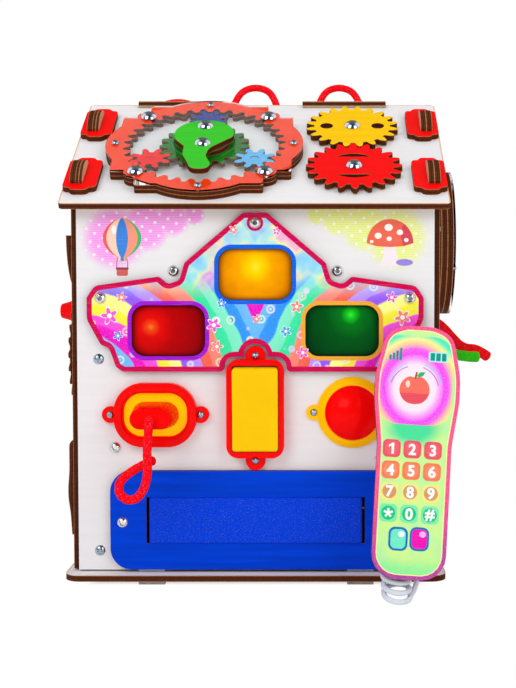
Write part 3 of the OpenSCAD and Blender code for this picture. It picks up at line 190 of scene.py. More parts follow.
class Nodes:
    """A node tree, built up by short calls."""

    def __init__(self, tree):
        self.tree = tree

    def feed(self, socket, value):
        if isinstance(value, bpy.types.NodeSocket):
            self.tree.links.new(value, socket)
        elif socket.type == "RGBA" and len(value) == 3:
            socket.default_value = (*value, 1)
        else:
            socket.default_value = value

    def add(self, kind, *inputs, **settings):
        node = self.tree.nodes.new("ShaderNode" + kind)
        for key, value in settings.items():
            setattr(node, key, value)
        for socket, value in zip(node.inputs, inputs):
            if value is not None:
                self.feed(socket, value)
        return node

    def math(self, operation, *values):
        return self.add("Math", *values, operation=operation).outputs[0]

    def vector(self, operation, *values):
        node = self.add("VectorMath", *values, operation=operation)
        scalar = operation in ("LENGTH", "DISTANCE", "DOT_PRODUCT")
        return node.outputs["Value" if scalar else "Vector"]

    def split(self, vector):
        return self.add("SeparateXYZ", vector).outputs

    def mix(self, share, a, b):
        node = self.add("Mix", data_type="RGBA")
        for index, value in ((0, share), (6, a), (7, b)):
            self.feed(node.inputs[index], value)
        return node.outputs[2]

    def ramp(self, value, stops):
        """Colours by a value; a stop's colour may be a paint code."""
        node = self.add("ValToRGB", value)
        elements = node.color_ramp.elements
        while len(elements) < len(stops):
            elements.new(0.5)
        for element, (position, colour) in zip(elements, stops):
            element.position = position
            element.color = (*(paint(colour) if isinstance(colour, str) else colour), 1)
        return node.outputs[0]

    def step(self, value, low, high, start=0.0, end=1.0):
        node = self.add("MapRange", value, low, high, start, end, interpolation_type="SMOOTHSTEP")
        return node.outputs[0]

    def noise(self, vector, scale=1.0, detail=2.0, rough=0.5):
        return self.add("TexNoise", vector, None, scale, detail, rough).outputs[0]


class Finish(Nodes):
    """A material on one Principled shader."""

    def __init__(self, name, roughness, metallic=0.0, **sockets):
        self.material = bpy.data.materials.new(name)
        self.material.use_nodes = True
        super().__init__(self.material.node_tree)
        self.shader = self.tree.nodes["Principled BSDF"]
        self.set("Roughness", roughness)
        self.set("Metallic", metallic)
        for socket, value in sockets.items():
            self.set(socket.replace("_", " "), value)

    def set(self, socket, value):
        self.feed(self.shader.inputs[socket], value)

    def swap(self, share, other):
        """Another shader in place of the first, by a share."""
        both = self.add("MixShader", share, self.shader.outputs[0], other.outputs[0])
        out = next(n for n in self.tree.nodes if n.type == "OUTPUT_MATERIAL")
        self.tree.links.new(both.outputs[0], out.inputs["Surface"])

    def place(self, matrix, fold=False):
        """Coordinates in millimetres in a flat frame; fold turns the back half onto the front."""
        coords = self.add("TexCoord").outputs["Object"]
        if fold:
            x, y, z = self.split(coords)
            y = self.math("MULTIPLY", self.math("ABSOLUTE", y), -1.0)
            coords = self.add("CombineXYZ", x, y, z).outputs[0]
        spot = tuple(v * MM for v in matrix.to_translation())
        turn = tuple(matrix.to_euler("XYZ"))
        return self.add("Mapping", coords, spot, turn, (MM, MM, MM), vector_type="TEXTURE").outputs[0]

    def bump(self, height, strength, distance):
        node = self.add("Bump")
        self.feed(node.inputs["Strength"], strength)
        self.feed(node.inputs["Distance"], distance)
        self.feed(node.inputs["Height"], height)
        self.set("Normal", node.outputs[0])


def wood_streak(f, spot):
    """Long streaks of the grain, along x."""
    return f.noise(f.vector("MULTIPLY", spot, (0.012, 0.22, 0.22)), 1.0, 4.0, 0.6)


def ragged(f, spot, distance):
    """A distance that wavers, for the line of a scorched rim."""
    return f.math("ADD", distance, f.math("MULTIPLY", f.noise(spot, 0.25), 0.7))


def paint_skin(f, spot, streak, smoothest, dullest):
    """Uneven gloss of paint, and the grain that shows through it."""
    f.set("Roughness", f.step(f.noise(spot, 0.9, 3.0), 0.2, 0.8, smoothest, dullest))
    f.bump(f.math("ADD", streak, f.math("MULTIPLY", f.noise(spot, 2.2), 0.35)), 0.12, 0.00012)


def painted_face(name, colour, flat, halo=None, tan=None, fold=False, roughness=0.5, grain=0.025):
    """Painted plywood: faint grain under the paint, and a scorched line along straight outer edges."""
    f = Finish(name, roughness, Specular_IOR_Level=0.04)
    spot = f.place(flat, fold)
    streak = wood_streak(f, spot)
    cloud = f.noise(spot, 0.02, 3.0)
    tone = f.mix(f.step(streak, 0.3, 0.7), shaded(colour, 1 - grain), shaded(colour, 1 + grain))
    tone = f.mix(f.step(cloud, 0.35, 0.75, 0.0, 0.35), tone, shaded(colour, 0.95))
    if halo:
        middle, half = halo
        inner = f.vector("SUBTRACT", f.vector("ABSOLUTE", f.vector("SUBTRACT", spot, (*middle, 0))), (*half, 0))
        x, y, _ = f.split(inner)
        rim = ragged(f, spot, f.math("MAXIMUM", x, y))
        tone = f.mix(f.step(rim, -1.1, 0.35), tone, tan)
    f.set("Base Color", tone)
    paint_skin(f, spot, streak, roughness - 0.08, roughness + 0.1)
    return f.material


def burnt_edge(name, colours, flat, low, thick=SHEET, fold=False):
    """Cut edge of a sheet that begins at the height low: three burnt layers, with a paler rim at both faces."""
    f = Finish(name, 0.62, Specular_IOR_Level=0.05)
    spot = f.place(flat, fold)
    z = f.split(spot)[2]
    depth = f.math("FRACT", f.math("DIVIDE", f.math("SUBTRACT", z, low), thick))
    burnt, tan = colours.burnt, colours.tan
    dark, deep, seam = shaded(burnt, 0.75), shaded(burnt, 0.5), shaded(tan, 0.42)
    layers = f.ramp(
        depth,
        [
            (0.0, tan), (0.06, shaded(tan, 0.5)), (0.13, burnt), (0.3, dark), (0.335, seam), (0.37, deep),
            (0.6, dark), (0.645, shaded(seam, 0.8)), (0.68, deep), (0.86, burnt), (0.93, shaded(tan, 0.55)),
            (0.97, tan), (1.0, shaded(tan, 1.15)),
        ],
    )
    cut = f.noise(f.vector("MULTIPLY", spot, (1.6, 1.6, 0.12)), 1.0, 3.0)
    blot = f.noise(spot, 0.07, 3.0)
    tone = f.mix(f.step(cut, 0.3, 0.75, 0.0, 0.55), layers, deep)
    tone = f.mix(f.step(blot, 0.5, 0.8, 0.0, 0.25), tone, shaded(burnt, 1.5))
    f.set("Base Color", tone)
    f.bump(f.math("ADD", cut, f.math("MULTIPLY", f.step(depth, 0.3, 0.36), 0.4)), 0.35, 0.00025)
    return f.material


def bare_wood(name, colour, flat):
    """Unpainted plywood with long grain and darker pores."""
    f = Finish(name, 0.6)
    spot = f.place(flat)
    grain = f.noise(f.vector("MULTIPLY", spot, (0.01, 0.3, 0.3)), 1.0, 6.0, 0.65)
    pore = f.noise(f.vector("MULTIPLY", spot, (0.05, 2.0, 2.0)))
    tone = f.mix(f.step(grain, 0.3, 0.72), shaded(colour, 0.72), shaded(colour, 1.12))
    f.set("Base Color", f.mix(f.step(pore, 0.6, 0.75, 0.0, 0.35), tone, shaded(colour, 0.5)))
    f.bump(f.math("ADD", grain, f.math("MULTIPLY", pore, 0.5)), 0.25, 0.0002)
    return f.material


def moulded(name, colour, roughness=0.2, glow=0.0, gloss=0.08):
    """Moulded plastic with a soft skin and faint colour drift; glow is painted light, a glow of its own colour though
    no lamp is in it.
    """
    # Painted glow: the plastic gives off light of its own colour, as strong as glow.
    f = Finish(name, roughness, Specular_IOR_Level=gloss, Emission_Strength=glow)
    f.set("Emission Color", colour)
    spot = f.place(LEVEL)
    drift = f.noise(spot, 0.04)
    f.set("Base Color", f.mix(drift, shaded(colour, 0.92), shaded(colour, 1.06)))
    f.set("Roughness", f.step(f.noise(spot, 0.5, 3.0), 0.2, 0.8, roughness - 0.05, roughness + 0.08))
    f.bump(f.noise(spot, 0.8), 0.02, 0.0001)
    return f.material


def metal(name, colour, roughness):
    """Plated steel: fine scratches, and patches of duller plating."""
    f = Finish(name, roughness, 1.0)
    spot = f.place(LEVEL)
    dull = f.noise(spot, 0.6, 4.0)
    scratch = f.noise(f.vector("MULTIPLY", spot, (6.0, 6.0, 0.4)))
    f.set("Base Color", f.mix(dull, shaded(colour, 0.86), shaded(colour, 1.04)))
    f.set("Roughness", f.step(dull, 0.3, 0.75, roughness * 0.7, roughness * 1.5))
    f.bump(scratch, 0.04, 0.00005)
    return f.material


def clear_sheet(name):
    """Clear acrylic that mirrors its surroundings and lets lamp light through."""
    f = Finish(name, 0.0, Transmission_Weight=1.0, IOR=1.18)
    haze = f.noise(f.place(LEVEL), 0.05, 3.0)
    f.set("Base Color", f.mix(haze, (0.96, 0.98, 0.98), (1, 1, 1)))
    path = f.add("LightPath")
    shadow = f.math("MAXIMUM", path.outputs["Is Shadow Ray"], path.outputs["Is Diffuse Ray"])
    f.swap(shadow, f.add("BsdfTransparent", (0.95, 0.97, 0.97)))
    return f.material


def lit_lens(name, middle, deep, tones, spot_at, reach):
    """Coloured lens, lit from behind: a hot spot that fades, and shade under the plaque's rim."""
    f = Finish(name, 0.14, Specular_IOR_Level=0.05, Emission_Strength=0.9)
    spot = f.place(FRONT)
    flat = f.vector("MULTIPLY", spot, (1, 1, 0))
    glow = f.math("DIVIDE", f.vector("DISTANCE", flat, (*spot_at, 0)), reach)
    light = f.ramp(glow, tones)
    edge = f.vector("ABSOLUTE", f.vector("SUBTRACT", flat, (*middle, 0)))
    x, y, _ = f.split(f.vector("DIVIDE", edge, (*WINDOW_HALF, 1)))
    power = f.math("ADD", f.math("POWER", x, 5.0), f.math("POWER", y, 5.0))
    shade = f.step(power, 0.25, 1.05, 1.0, 0.12)
    ripple = f.noise(spot, 0.12)
    shade = f.math("MULTIPLY", shade, f.step(ripple, 0.2, 0.8, 0.88, 1.06))
    f.set("Emission Color", f.mix(shade, (0, 0, 0), light))
    f.set("Base Color", f.mix(ripple, shaded(deep, 0.8), deep))
    f.bump(ripple, 0.05, 0.0002)
    return f.material


def braided(name, colour, fleck):
    """Braided rope: strands that cross, with painted shade in the gaps between them, and pale flecks of fibre."""
    f = Finish(name, 0.6, Specular_IOR_Level=0.03, Sheen_Weight=0.01, Sheen_Roughness=0.4)
    uv = f.add("TexCoord").outputs["UV"]
    u, v, _ = f.split(uv)
    turn = f.math("MULTIPLY", v, 4.0)
    left, right = (f.math("SINE", f.math("MULTIPLY", f.math(way, u, turn), math.tau)) for way in ("ADD", "SUBTRACT"))
    strand = f.math("MAXIMUM", left, right)
    fibre = f.noise(f.vector("MULTIPLY", uv, (16.0, 24.0, 1.0)))
    # Painted shade: the colour is darker in the gaps between the strands.
    tone = f.mix(f.step(strand, -0.2, 0.9), shaded(colour, 0.9), colour)
    tone = f.mix(f.step(fibre, 0.63, 0.69, 0.0, 0.9), tone, fleck)
    f.set("Base Color", tone)
    f.bump(f.math("ADD", strand, fibre), 0.22, 0.0003)
    return f.material


def woven(name, colour, pitch, rough):
    """Woven band: ribs across and along, with painted shade between them, painted glints and loose fibres."""
    f = Finish(name, rough, Specular_IOR_Level=0.04, Sheen_Weight=0.02, Sheen_Roughness=0.5)
    spot = f.place(LEVEL)
    x, _, z = f.split(spot)
    across = f.math("SINE", f.math("MULTIPLY", x, math.tau / pitch))
    along = f.math("SINE", f.math("MULTIPLY", z, math.tau / pitch))
    knot = f.math("MULTIPLY", across, along)
    fuzz = f.noise(spot, 1.4, 4.0, 0.7)
    # Painted shade in the valleys between the ribs and painted light on the ribs, then pale painted glints.
    tone = f.mix(f.step(knot, -0.6, 0.7), shaded(colour, 0.72), shaded(colour, 1.05))
    glint = f.step(f.noise(spot, 1.5, 1.0), 0.58, 0.7, 0.0, 0.3)
    tone = f.mix(glint, tone, tuple(c * 0.6 + 0.25 for c in colour))
    f.set("Base Color", f.mix(f.step(fuzz, 0.35, 0.6, 0.3, 0.0), tone, shaded(colour, 0.55)))
    f.bump(f.math("ADD", knot, fuzz), 0.5, 0.0003)
    return f.material


def printed(name, colour, flat=FRONT):
    """One printed ink: even colour with the fine grain of the sheet below."""
    f = Finish(name, 0.4, Specular_IOR_Level=0.04)
    spot = f.place(flat)
    dots = f.noise(spot, 2.4)
    line = f.noise(f.vector("MULTIPLY", spot, (0.05, 1.5, 1.0)))
    tone = f.mix(dots, shaded(colour, 0.94), shaded(colour, 1.06))
    f.set("Base Color", f.mix(f.step(line, 0.5, 0.8, 0.0, 0.06), tone, (1, 1, 1)))
    f.bump(dots, 0.06, 0.0001)
    return f.material


# ---------------------------------------------------------------- mesh helpers


def finish_piece(name, bm, materials, body, slot, replaces=(), smooth=None):
    """Mesh piece from a bmesh in metres, on its body; a body of None leaves it free."""
    mesh = bpy.data.meshes.new(name)
    bmesh.ops.recalc_face_normals(bm, faces=bm.faces[:])
    bm.to_mesh(mesh)
    bm.free()
    for material in materials:
        mesh.materials.append(material)
    if smooth is not None:
        mesh.polygons.foreach_set("use_smooth", [True] * len(mesh.polygons))
        mesh.set_sharp_from_angle(angle=math.radians(smooth))
    piece = bpy.data.objects.new(name, mesh)
    bpy.context.scene.collection.objects.link(piece)
    if body:
        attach(piece, body)
    if replaces:
        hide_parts(*replaces)
    return piece


def smooth_path(points, steps):
    """Smooth curve through the points, as the part's own routes are drawn."""
    points = [Vector(p) for p in points]
    last = len(points) - 1
    path = []
    for i in range(last):
        a, b, c, d = points[max(i - 1, 0)], points[i], points[i + 1], points[min(i + 2, last)]
        for k in range(steps):
            t = k / steps
            path.append(
                0.5 * (2 * b + (c - a) * t + (2 * a - 5 * b + 4 * c - d) * t**2 + (3 * b - a - 3 * c + d) * t**3)
            )
    return path + [points[last]]


def even_path(points, step):
    """The same route with points at an even distance."""
    run = [0.0]
    for a, b in zip(points, points[1:]):
        run.append(run[-1] + (b - a).length)
    count = max(2, round(run[-1] / step))
    path, i = [], 0
    for k in range(count + 1):
        want = run[-1] * k / count
        while i < len(run) - 2 and run[i + 1] < want:
            i += 1
        share = (want - run[i]) / max(run[i + 1] - run[i], 1e-9)
        path.append(points[i].lerp(points[i + 1], min(1.0, share)))
    return path


def path_length(points):
    return sum((b - a).length for a, b in zip(points, points[1:]))


UV_STEP = 10.0  # millimetres of a cord to one step of its UV


def swept(path, width, thick, sides, side, relief=None, round_ends=0):
    """Closed tube along a path in millimetres, with its length and turn as UV; relief lifts the skin."""
    bm = bmesh.new()
    uv = bm.loops.layers.uv.new("braid")
    rings, across, run = [], Vector(side), 0.0
    last = len(path) - 1
    for i, p in enumerate(path):
        t = (path[min(i + 1, last)] - path[max(i - 1, 0)]).normalized()
        across = (across - across.dot(t) * t).normalized()
        other = t.cross(across)
        run += (p - path[i - 1]).length if i else 0.0
        share = 1.0
        if round_ends:
            near = min(i, last - i) / round_ends
            share = math.sqrt(max(0.06, 1 - (1 - min(near, 1.0)) ** 2))
        ring = []
        for k in range(sides):
            a = math.tau * k / sides
            lift = share * (1 + (relief(run, k / sides) if relief else 0))
            skin = p + across * (width / 2 * lift * math.cos(a))
            ring.append(bm.verts.new((skin + other * (thick / 2 * lift * math.sin(a))) * MM))
        rings.append((ring, run))
    for (low, u0), (high, u1) in zip(rings, rings[1:]):
        for k in range(sides):
            n = (k + 1) % sides
            face = bm.faces.new((low[k], low[n], high[n], high[k]))
            for loop, place in zip(face.loops, ((u0, k), (u0, k + 1), (u1, k + 1), (u1, k))):
                loop[uv].uv = (place[0] / UV_STEP, place[1] / sides)
    bm.faces.new(rings[0][0][::-1])
    bm.faces.new(rings[-1][0])
    return bm


class Print:
    """Printed shapes on a flat face, each a thin closed film that stands a little proud of it; in millimetres."""

    def __init__(self, flat, level, sunk):
        self.bm = bmesh.new()
        self.flat, self.level, self.sunk = flat, level, sunk

    def shape(self, ink, lift, outline):
        heights = (self.level - self.sunk, self.level + lift)
        bottom, top = (
            [self.bm.verts.new((self.flat @ Vector((x, y, height))) * MM) for x, y in outline] for height in heights
        )
        faces = [self.bm.faces.new(top), self.bm.faces.new(bottom[::-1])]
        for i in range(-len(outline), 0):
            faces.append(self.bm.faces.new((bottom[i], bottom[i + 1], top[i + 1], top[i])))
        for face in faces:
            face.material_index = ink

    def finish(self, name, body, inks, ink_name=None):
        """The piece; inks are materials, or paint codes whose materials take ink_name."""
        if ink_name:
            inks = [printed(f"{ink_name}_{i}", paint(code), self.flat) for i, code in enumerate(inks)]
        finish_piece(name, self.bm, inks, body, "printed_ply")


def ellipse(x, y, rx, ry=None, count=40, start=0.0, end=math.tau):
    ry = rx if ry is None else ry
    full = abs(end - start - math.tau) < 1e-6
    steps = count if full else count - 1
    angles = [start + (end - start) * k / steps for k in range(count)]
    return [(x + rx * math.cos(a), y + ry * math.sin(a)) for a in angles]


def rounded_box(x, y, w, h, r, count=7):
    points = []
    for cx, cy, a in ((1, 1, 0), (-1, 1, 90), (-1, -1, 180), (1, -1, 270)):
        for k in range(count):
            t = math.radians(a + 90 * k / (count - 1))
            points.append((x + cx * (w / 2 - r) + r * math.cos(t), y + cy * (h / 2 - r) + r * math.sin(t)))
    return points


def band(inner, outer):
    """Outline of a strip between two open arcs."""
    return inner + outer[::-1]


def petals(x, y, r, turn):
    """Outline of a flower with five petals."""
    count, depth, points = 5, 0.28, 60
    outline = []
    for k in range(points):
        a = math.tau * k / points
        reach = r * (1 - depth + depth * math.cos(count * a))
        outline.append((x + reach * math.cos(a + turn), y + reach * math.sin(a + turn)))
    return outline


def inset(bm, faces, width, outline=True):
    """New faces along the border of some faces; without outline, only where they meet other faces."""
    new = bmesh.ops.inset_region(bm, faces=faces, thickness=width, use_even_offset=True, use_boundary=outline)
    return new["faces"]


def node_mesh(node):
    """Editable copy of a CAD node's mesh, with its split corners welded."""
    bm = bmesh.new()
    bm.from_mesh(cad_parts[node].data)
    bmesh.ops.remove_doubles(bm, verts=bm.verts[:], dist=2e-6)
    return bm


def softened(node, width):
    """The node's mesh with its sharp edges rounded, as moulded plastic has them; width in millimetres."""
    bm = node_mesh(node)
    sharp = math.radians(40)
    bmesh.ops.dissolve_limit(bm, angle_limit=math.radians(0.5), verts=bm.verts[:], edges=bm.edges[:])
    edges = [e for e in bm.edges if len(e.link_faces) == 2 and e.calc_face_angle(0) > sharp]
    bmesh.ops.bevel(bm, geom=edges, offset=width * MM, segments=4, profile=0.5, affect="EDGES", clamp_overlap=True)
    return bm


def dress(node, *materials, facing=(), edge=None):
    """Finishes on a CAD node: one all over, or front, back and edge by the way that each face looks."""
    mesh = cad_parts[node].data
    if "custom_normal" in mesh.attributes:
        mesh.attributes.remove(mesh.attributes["custom_normal"])
    mesh.polygons.foreach_set("use_smooth", [True] * len(mesh.polygons))
    mesh.set_sharp_from_angle(angle=math.radians(28))
    mesh.materials.clear()
    for material in materials:
        mesh.materials.append(material)
    if edge is not None:
        mesh.materials.append(edge)
    index = [0] * len(mesh.polygons)
    if facing:
        for i, face in enumerate(mesh.polygons):
            ahead = [face.normal.dot(n) for n in facing]
            index[i] = 0 if max(ahead) > 0.9 else 1 if min(ahead) < -0.9 else 2
    mesh.polygons.foreach_set("material_index", index)


# ---------------------------------------------------------------- routes, in millimetres, as in the part

ROPE_START = (-65.5, -142.3, 113.2)
ROPE_ROUTE = [
    (-65.5, -145.2, 113.2), (-65.4, -148, 112.6), (-65.3, -150.6, 110), (-65.4, -152, 105), (-66, -152.2, 98),
    (-66.2, -152, 91), (-66, -151.6, 84), (-66.6, -151, 77.5), (-68.6, -150, 70.5), (-73, -149, 64.6),
    (-79, -148, 63), (-84, -147, 66.5), (-84.8, -146, 72), (-81.4, -145.4, 77.2), (-76, -145, 81.2),
    (-70.4, -144.8, 84.4), (-64.4, -144.8, 87.2),
]
RED_LACE_ROUTE = [
    (117, -78, 171.4), (122, -78, 171.4), (127, -78.4, 167.4), (132, -79, 161.8), (137, -79.6, 156.8),
    (142, -80, 154.4), (147.4, -80.4, 153.8), (152.6, -80.8, 151.4), (157.6, -81, 148),
]
GREEN_LACE_ROUTE = [
    (105, -79.6, 152), (111, -79.6, 152), (117, -79.6, 152), (122, -79.6, 152), (128, -82.6, 151.6),
    (134, -85.8, 150.6), (140, -88, 149.8), (145, -89, 149.4), (150, -89.4, 149.4),
]
LACE_HOLES = (-82, -48, -24, 11, 40, 74)
LACE_PEAKS = (19, 33, 33)
LACE_UNDER = 12.0
LACE_KNOT = 10.0
LACE_STEP = 20.0
CURL_TAIL = [
    (103, -155.95, 30.3), (103, -152.3, 29.4), (103.2, -149.6, 26.6), (103.5, -148.6, 21.5), (103.6, -149, 15.5),
    (102.9, -150.4, 10), (101, -152.6, 5.8),
]
CURL_END = [
    (79.7, -134, 58.2), (79.8, -129, 63), (80, -125, 70), (80, -121.5, 77.4), (80, -117.5, 82.8),
    (80, -112.4, 84), (80, -108.2, 84),
]
CURL_X = ((0, 90.4), (12, 88))
CURL_Y = ((0, -156.7), (1, -156), (2, -153.8), (3, -149), (4, -147.2), (6, -145), (12, -138))
CURL_LEAN = ((0, 20), (1, 16), (2, 9), (3, 1), (4, -6), (5, -11), (6, -14), (12, -14))
CURL_RADIUS = 8.2
CURL_Z = 3.4
CURL_PITCH = 4.8
CURL_TURNS = 11.5


def between(table, t):
    """Value at t in a table of steps."""
    for (t0, v0), (t1, v1) in zip(table, table[1:]):
        if t <= t1:
            return v0 + (v1 - v0) * (t - t0) / (t1 - t0)
    return table[-1][1]


def rope_path():
    return even_path([Vector(ROPE_START)] + smooth_path(ROPE_ROUTE, 8), 0.45)


def roof_cord_path():
    """Through the back roof's six holes: three loops above it and two runs below, with a short end below the sheet at
    both ends.
    """
    flat = [(LACE_HOLES[0], -SHEET - LACE_KNOT)]
    for i, peak in enumerate(LACE_PEAKS):
        a, b = LACE_HOLES[2 * i], LACE_HOLES[2 * i + 1]
        w = (b - a) / 2
        flat += [
            (a, -SHEET - 1), (a, 0.5), (a + w * 0.05, peak * 0.42), (a + w * 0.4, peak * 0.86), (a + w, peak),
            (b - w * 0.4, peak * 0.86), (b - w * 0.05, peak * 0.42), (b, 0.5), (b, -SHEET - 1),
        ]
        if i < 2:
            c = LACE_HOLES[2 * i + 2]
            s = c - b
            flat += [
                (b + s * 0.2, -SHEET - LACE_UNDER * 0.8), (b + s * 0.5, -SHEET - LACE_UNDER),
                (c - s * 0.2, -SHEET - LACE_UNDER * 0.8),
            ]
    flat.append((LACE_HOLES[5], -SHEET - LACE_KNOT))
    up = ROOF_LEN - LACE_STEP
    points = []
    for x, v in flat:
        p = ROOF @ Vector((x, up, v))
        points.append(Vector((p.x, -p.y, p.z)))
    return even_path(smooth_path(points, 8), 0.6)


def curly_path():
    """From the hole in the wall, down and round the curls on the table, up to the phone's back."""
    curls = []
    steps = 24
    for i in range(round(steps * CURL_TURNS) + 1):
        t = i / steps
        a, lean = -math.tau * t, math.radians(between(CURL_LEAN, t))
        middle = Vector((between(CURL_X, t), between(CURL_Y, t), CURL_Z + CURL_PITCH * t))
        loop = Vector((math.cos(a), math.sin(a) * math.cos(lean), math.sin(a) * math.sin(lean)))
        curls.append(middle + CURL_RADIUS * loop)
    tail = [Vector(CURL_TAIL[0])] + smooth_path(CURL_TAIL[1:], 6)
    path = tail[:-1] + [Vector(CURL_TAIL[-1])] + curls + smooth_path(CURL_END, 6)
    return path[::-1]


def declare_cord(piece, path, diameter, far_end, stiffness, lay, **more):
    path_length(path) * MM


# ---------------------------------------------------------------- operators


class MakeStage(bpy.types.Operator):
    """Camera at the viewing angle, pale floor, even sky and three soft lamps"""

    bl_idname = "busyhouse.make_stage"
    bl_label = "Stage"

    def execute(self, context):
        scene, values = context.scene, context.scene.house_stage
        scene.view_settings.view_transform = "Standard"
        camera = bpy.data.cameras.new("camera")
        camera.lens = values.lens
        camera.sensor_width = 36
        camera.shift_x, camera.shift_y = -0.0878, -0.0155
        camera.clip_end = 20
        eye = bpy.data.objects.new("camera", camera)
        eye.location = (0.0412, -0.9474, 0.2083)
        eye.rotation_euler = (math.radians(90 - 2.87), 0, 0)
        scene.collection.objects.link(eye)
        scene.camera = eye
        lamps = (
            ("key", (-0.75, -1.25, 1.05), 0.9, values.key_light),
            ("fill", (1.0, -1.1, 0.7), 0.9, values.fill_light),
            ("top", (0.1, 0.25, 1.5), 1.2, values.top_light),
        )
        for name, spot, size, power in lamps:
            light = bpy.data.lights.new(name, "AREA")
            light.shape, light.size, light.energy = "SQUARE", size, power
            lamp = bpy.data.objects.new(name, light)
            lamp.location = spot
            lamp.rotation_euler = (Vector((0, 0, 0.17)) - Vector(spot)).to_track_quat("-Z", "Y").to_euler()
            lamp.visible_glossy = name != "top"
            scene.collection.objects.link(lamp)
        self.make_sky(scene, values.sky)
        self.make_floor(scene)
        return {"FINISHED"}

    def make_sky(self, scene, strength):
        """Even light; mirrors see pale panels at both sides and a dark room in front, and the camera sees white."""
        world = bpy.data.worlds.new("studio")
        scene.world = world
        world.use_nodes = True
        sky = Nodes(world.node_tree)
        path = sky.add("LightPath").outputs
        x, y, _ = sky.split(sky.add("TexCoord").outputs["Generated"])
        panels = sky.mix(sky.step(sky.math("ABSOLUTE", x), 0.4, 0.6), (0.17, 0.17, 0.17), (0.95, 0.97, 1))
        mirror = sky.mix(sky.step(y, 0.15, -0.75), panels, (0.04, 0.06, 0.09))
        tone = sky.mix(path["Is Glossy Ray"], (strength, strength, strength * 1.01), mirror)
        seen = sky.math("MAXIMUM", path["Is Camera Ray"], path["Is Transmission Ray"])
        sky.feed(sky.tree.nodes["Background"].inputs["Color"], sky.mix(seen, tone, (1, 1, 1)))

    def make_floor(self, scene):
        f = Finish("floor", 0.9)
        f.set("Base Color", (0.98, 0.98, 0.98))
        inner = f.vector("SUBTRACT", f.vector("ABSOLUTE", f.place(LEVEL)), (BASE_HALF, BASE_HALF, 0))
        x, y, _ = f.split(inner)
        far = f.step(f.math("MAXIMUM", x, y), -34.0, -10.0)
        path = f.add("LightPath")
        seen = f.math("MULTIPLY", path.outputs["Is Camera Ray"], far)
        f.swap(seen, f.add("Emission", (1, 1, 1), 1.0))
        bm = bmesh.new()
        for x, y in ((-6, -6), (6, -6), (6, 6), (-6, 6)):
            bm.verts.new((x, y, -0.0002))
        bm.faces.new(bm.verts[:])
        mesh = bpy.data.meshes.new("floor")
        bm.to_mesh(mesh)
        bm.free()
        mesh.materials.append(f.material)
        floor = bpy.data.objects.new("floor", mesh)
        scene.collection.objects.link(floor)


class MakeCords(bpy.types.Operator):
    """Rope loop of the plug, cord behind the ridge, two laces and the phone's curly cord"""

    bl_idname = "busyhouse.make_cords"
    bl_label = "Cords"

    def execute(self, context):
        values = context.scene.house_cords
        rope = braided("rope_red", values.rope_red, paint("ff98a8"))
        self.make_rope(values, rope)
        self.make_roof_cord(values, rope)
        self.make_laces(values)
        self.make_curly(values)
        return {"FINISHED"}

    def make_rope(self, values, material):
        d = values.rope / MM
        path = rope_path()

        def braid(run, turn):
            along, round_it = run / UV_STEP * 2.6, turn * 4
            strands = [math.sin(math.tau * (along + way * round_it)) for way in (1, -1)]
            return 0.045 * max(strands) - 0.03

        skin = swept(path, d, d, 24, (1, 0, 0), braid)
        rope = finish_piece("plug_rope", skin, [material], "plug_set", "red_rope", ["plug_cord"], 50)
        nub = bmesh.new()
        bmesh.ops.create_uvsphere(nub, u_segments=24, v_segments=14, radius=d * 0.54 * MM)
        for v in nub.verts:
            swell = 1 + 0.07 * math.sin(9 * v.co.z / MM) * math.cos(5 * v.co.x / MM)
            v.co = v.co * swell + path[-1] * MM
        knot = finish_piece("plug_rope_knot", nub, [material], "plug_set", "red_rope", smooth=60)
        declare_cord(rope, path, values.rope, "knot", "limp", "hanging", with_pieces=[knot])

    def make_roof_cord(self, values, material):
        d = values.roof_cord / MM
        path = roof_cord_path()

        def braid(run, turn):
            return 0.025 * math.sin(math.tau * (run / UV_STEP * 3.4 + turn * 3))

        skin = swept(path, d, d, 20, (0, 1, 0), braid)
        cord = finish_piece("ridge_cord", skin, [material], HOUSE, "red_rope", ["roof_lace"], 60)
        declare_cord(cord, path, values.roof_cord, "object", "medium", "loose")

    def make_laces(self, values):
        laces = (
            ("red_lace_band", RED_LACE_ROUTE, values.rope_red, "red_rope", "red_lace"),
            ("green_lace_band", GREEN_LACE_ROUTE, values.lace_green, "green_lace", "green_lace"),
        )

        def ribs(run, turn):
            return 0.02 * math.sin(math.tau * run / 1.4)

        for name, route, colour, slot, node in laces:
            path = even_path(smooth_path(route, 8), 0.5)
            skin = swept(path, values.lace / MM, values.lace_thick / MM, 28, (0, 0, 1), ribs, 4)
            lace = finish_piece(name, skin, [woven(name, colour, 1.1, 0.7)], HOUSE, slot, [node], 60)
            declare_cord(lace, path, values.lace, "bare", "medium", "loose")

    def make_curly(self, values):
        d = values.curly / MM
        path = even_path(curly_path(), 1.1)
        white = moulded("cord_white", paint("dfe4ee"), 0.24)
        skin = swept(path, d, d, 14, (1, 0, 0))
        cord = finish_piece("phone_curly_cord", skin, [white], None, "white_plastic", ["phone_cord"], 60)
        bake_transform(cord)
        declare_cord(cord, path, values.curly, "object", "medium", "coiled")


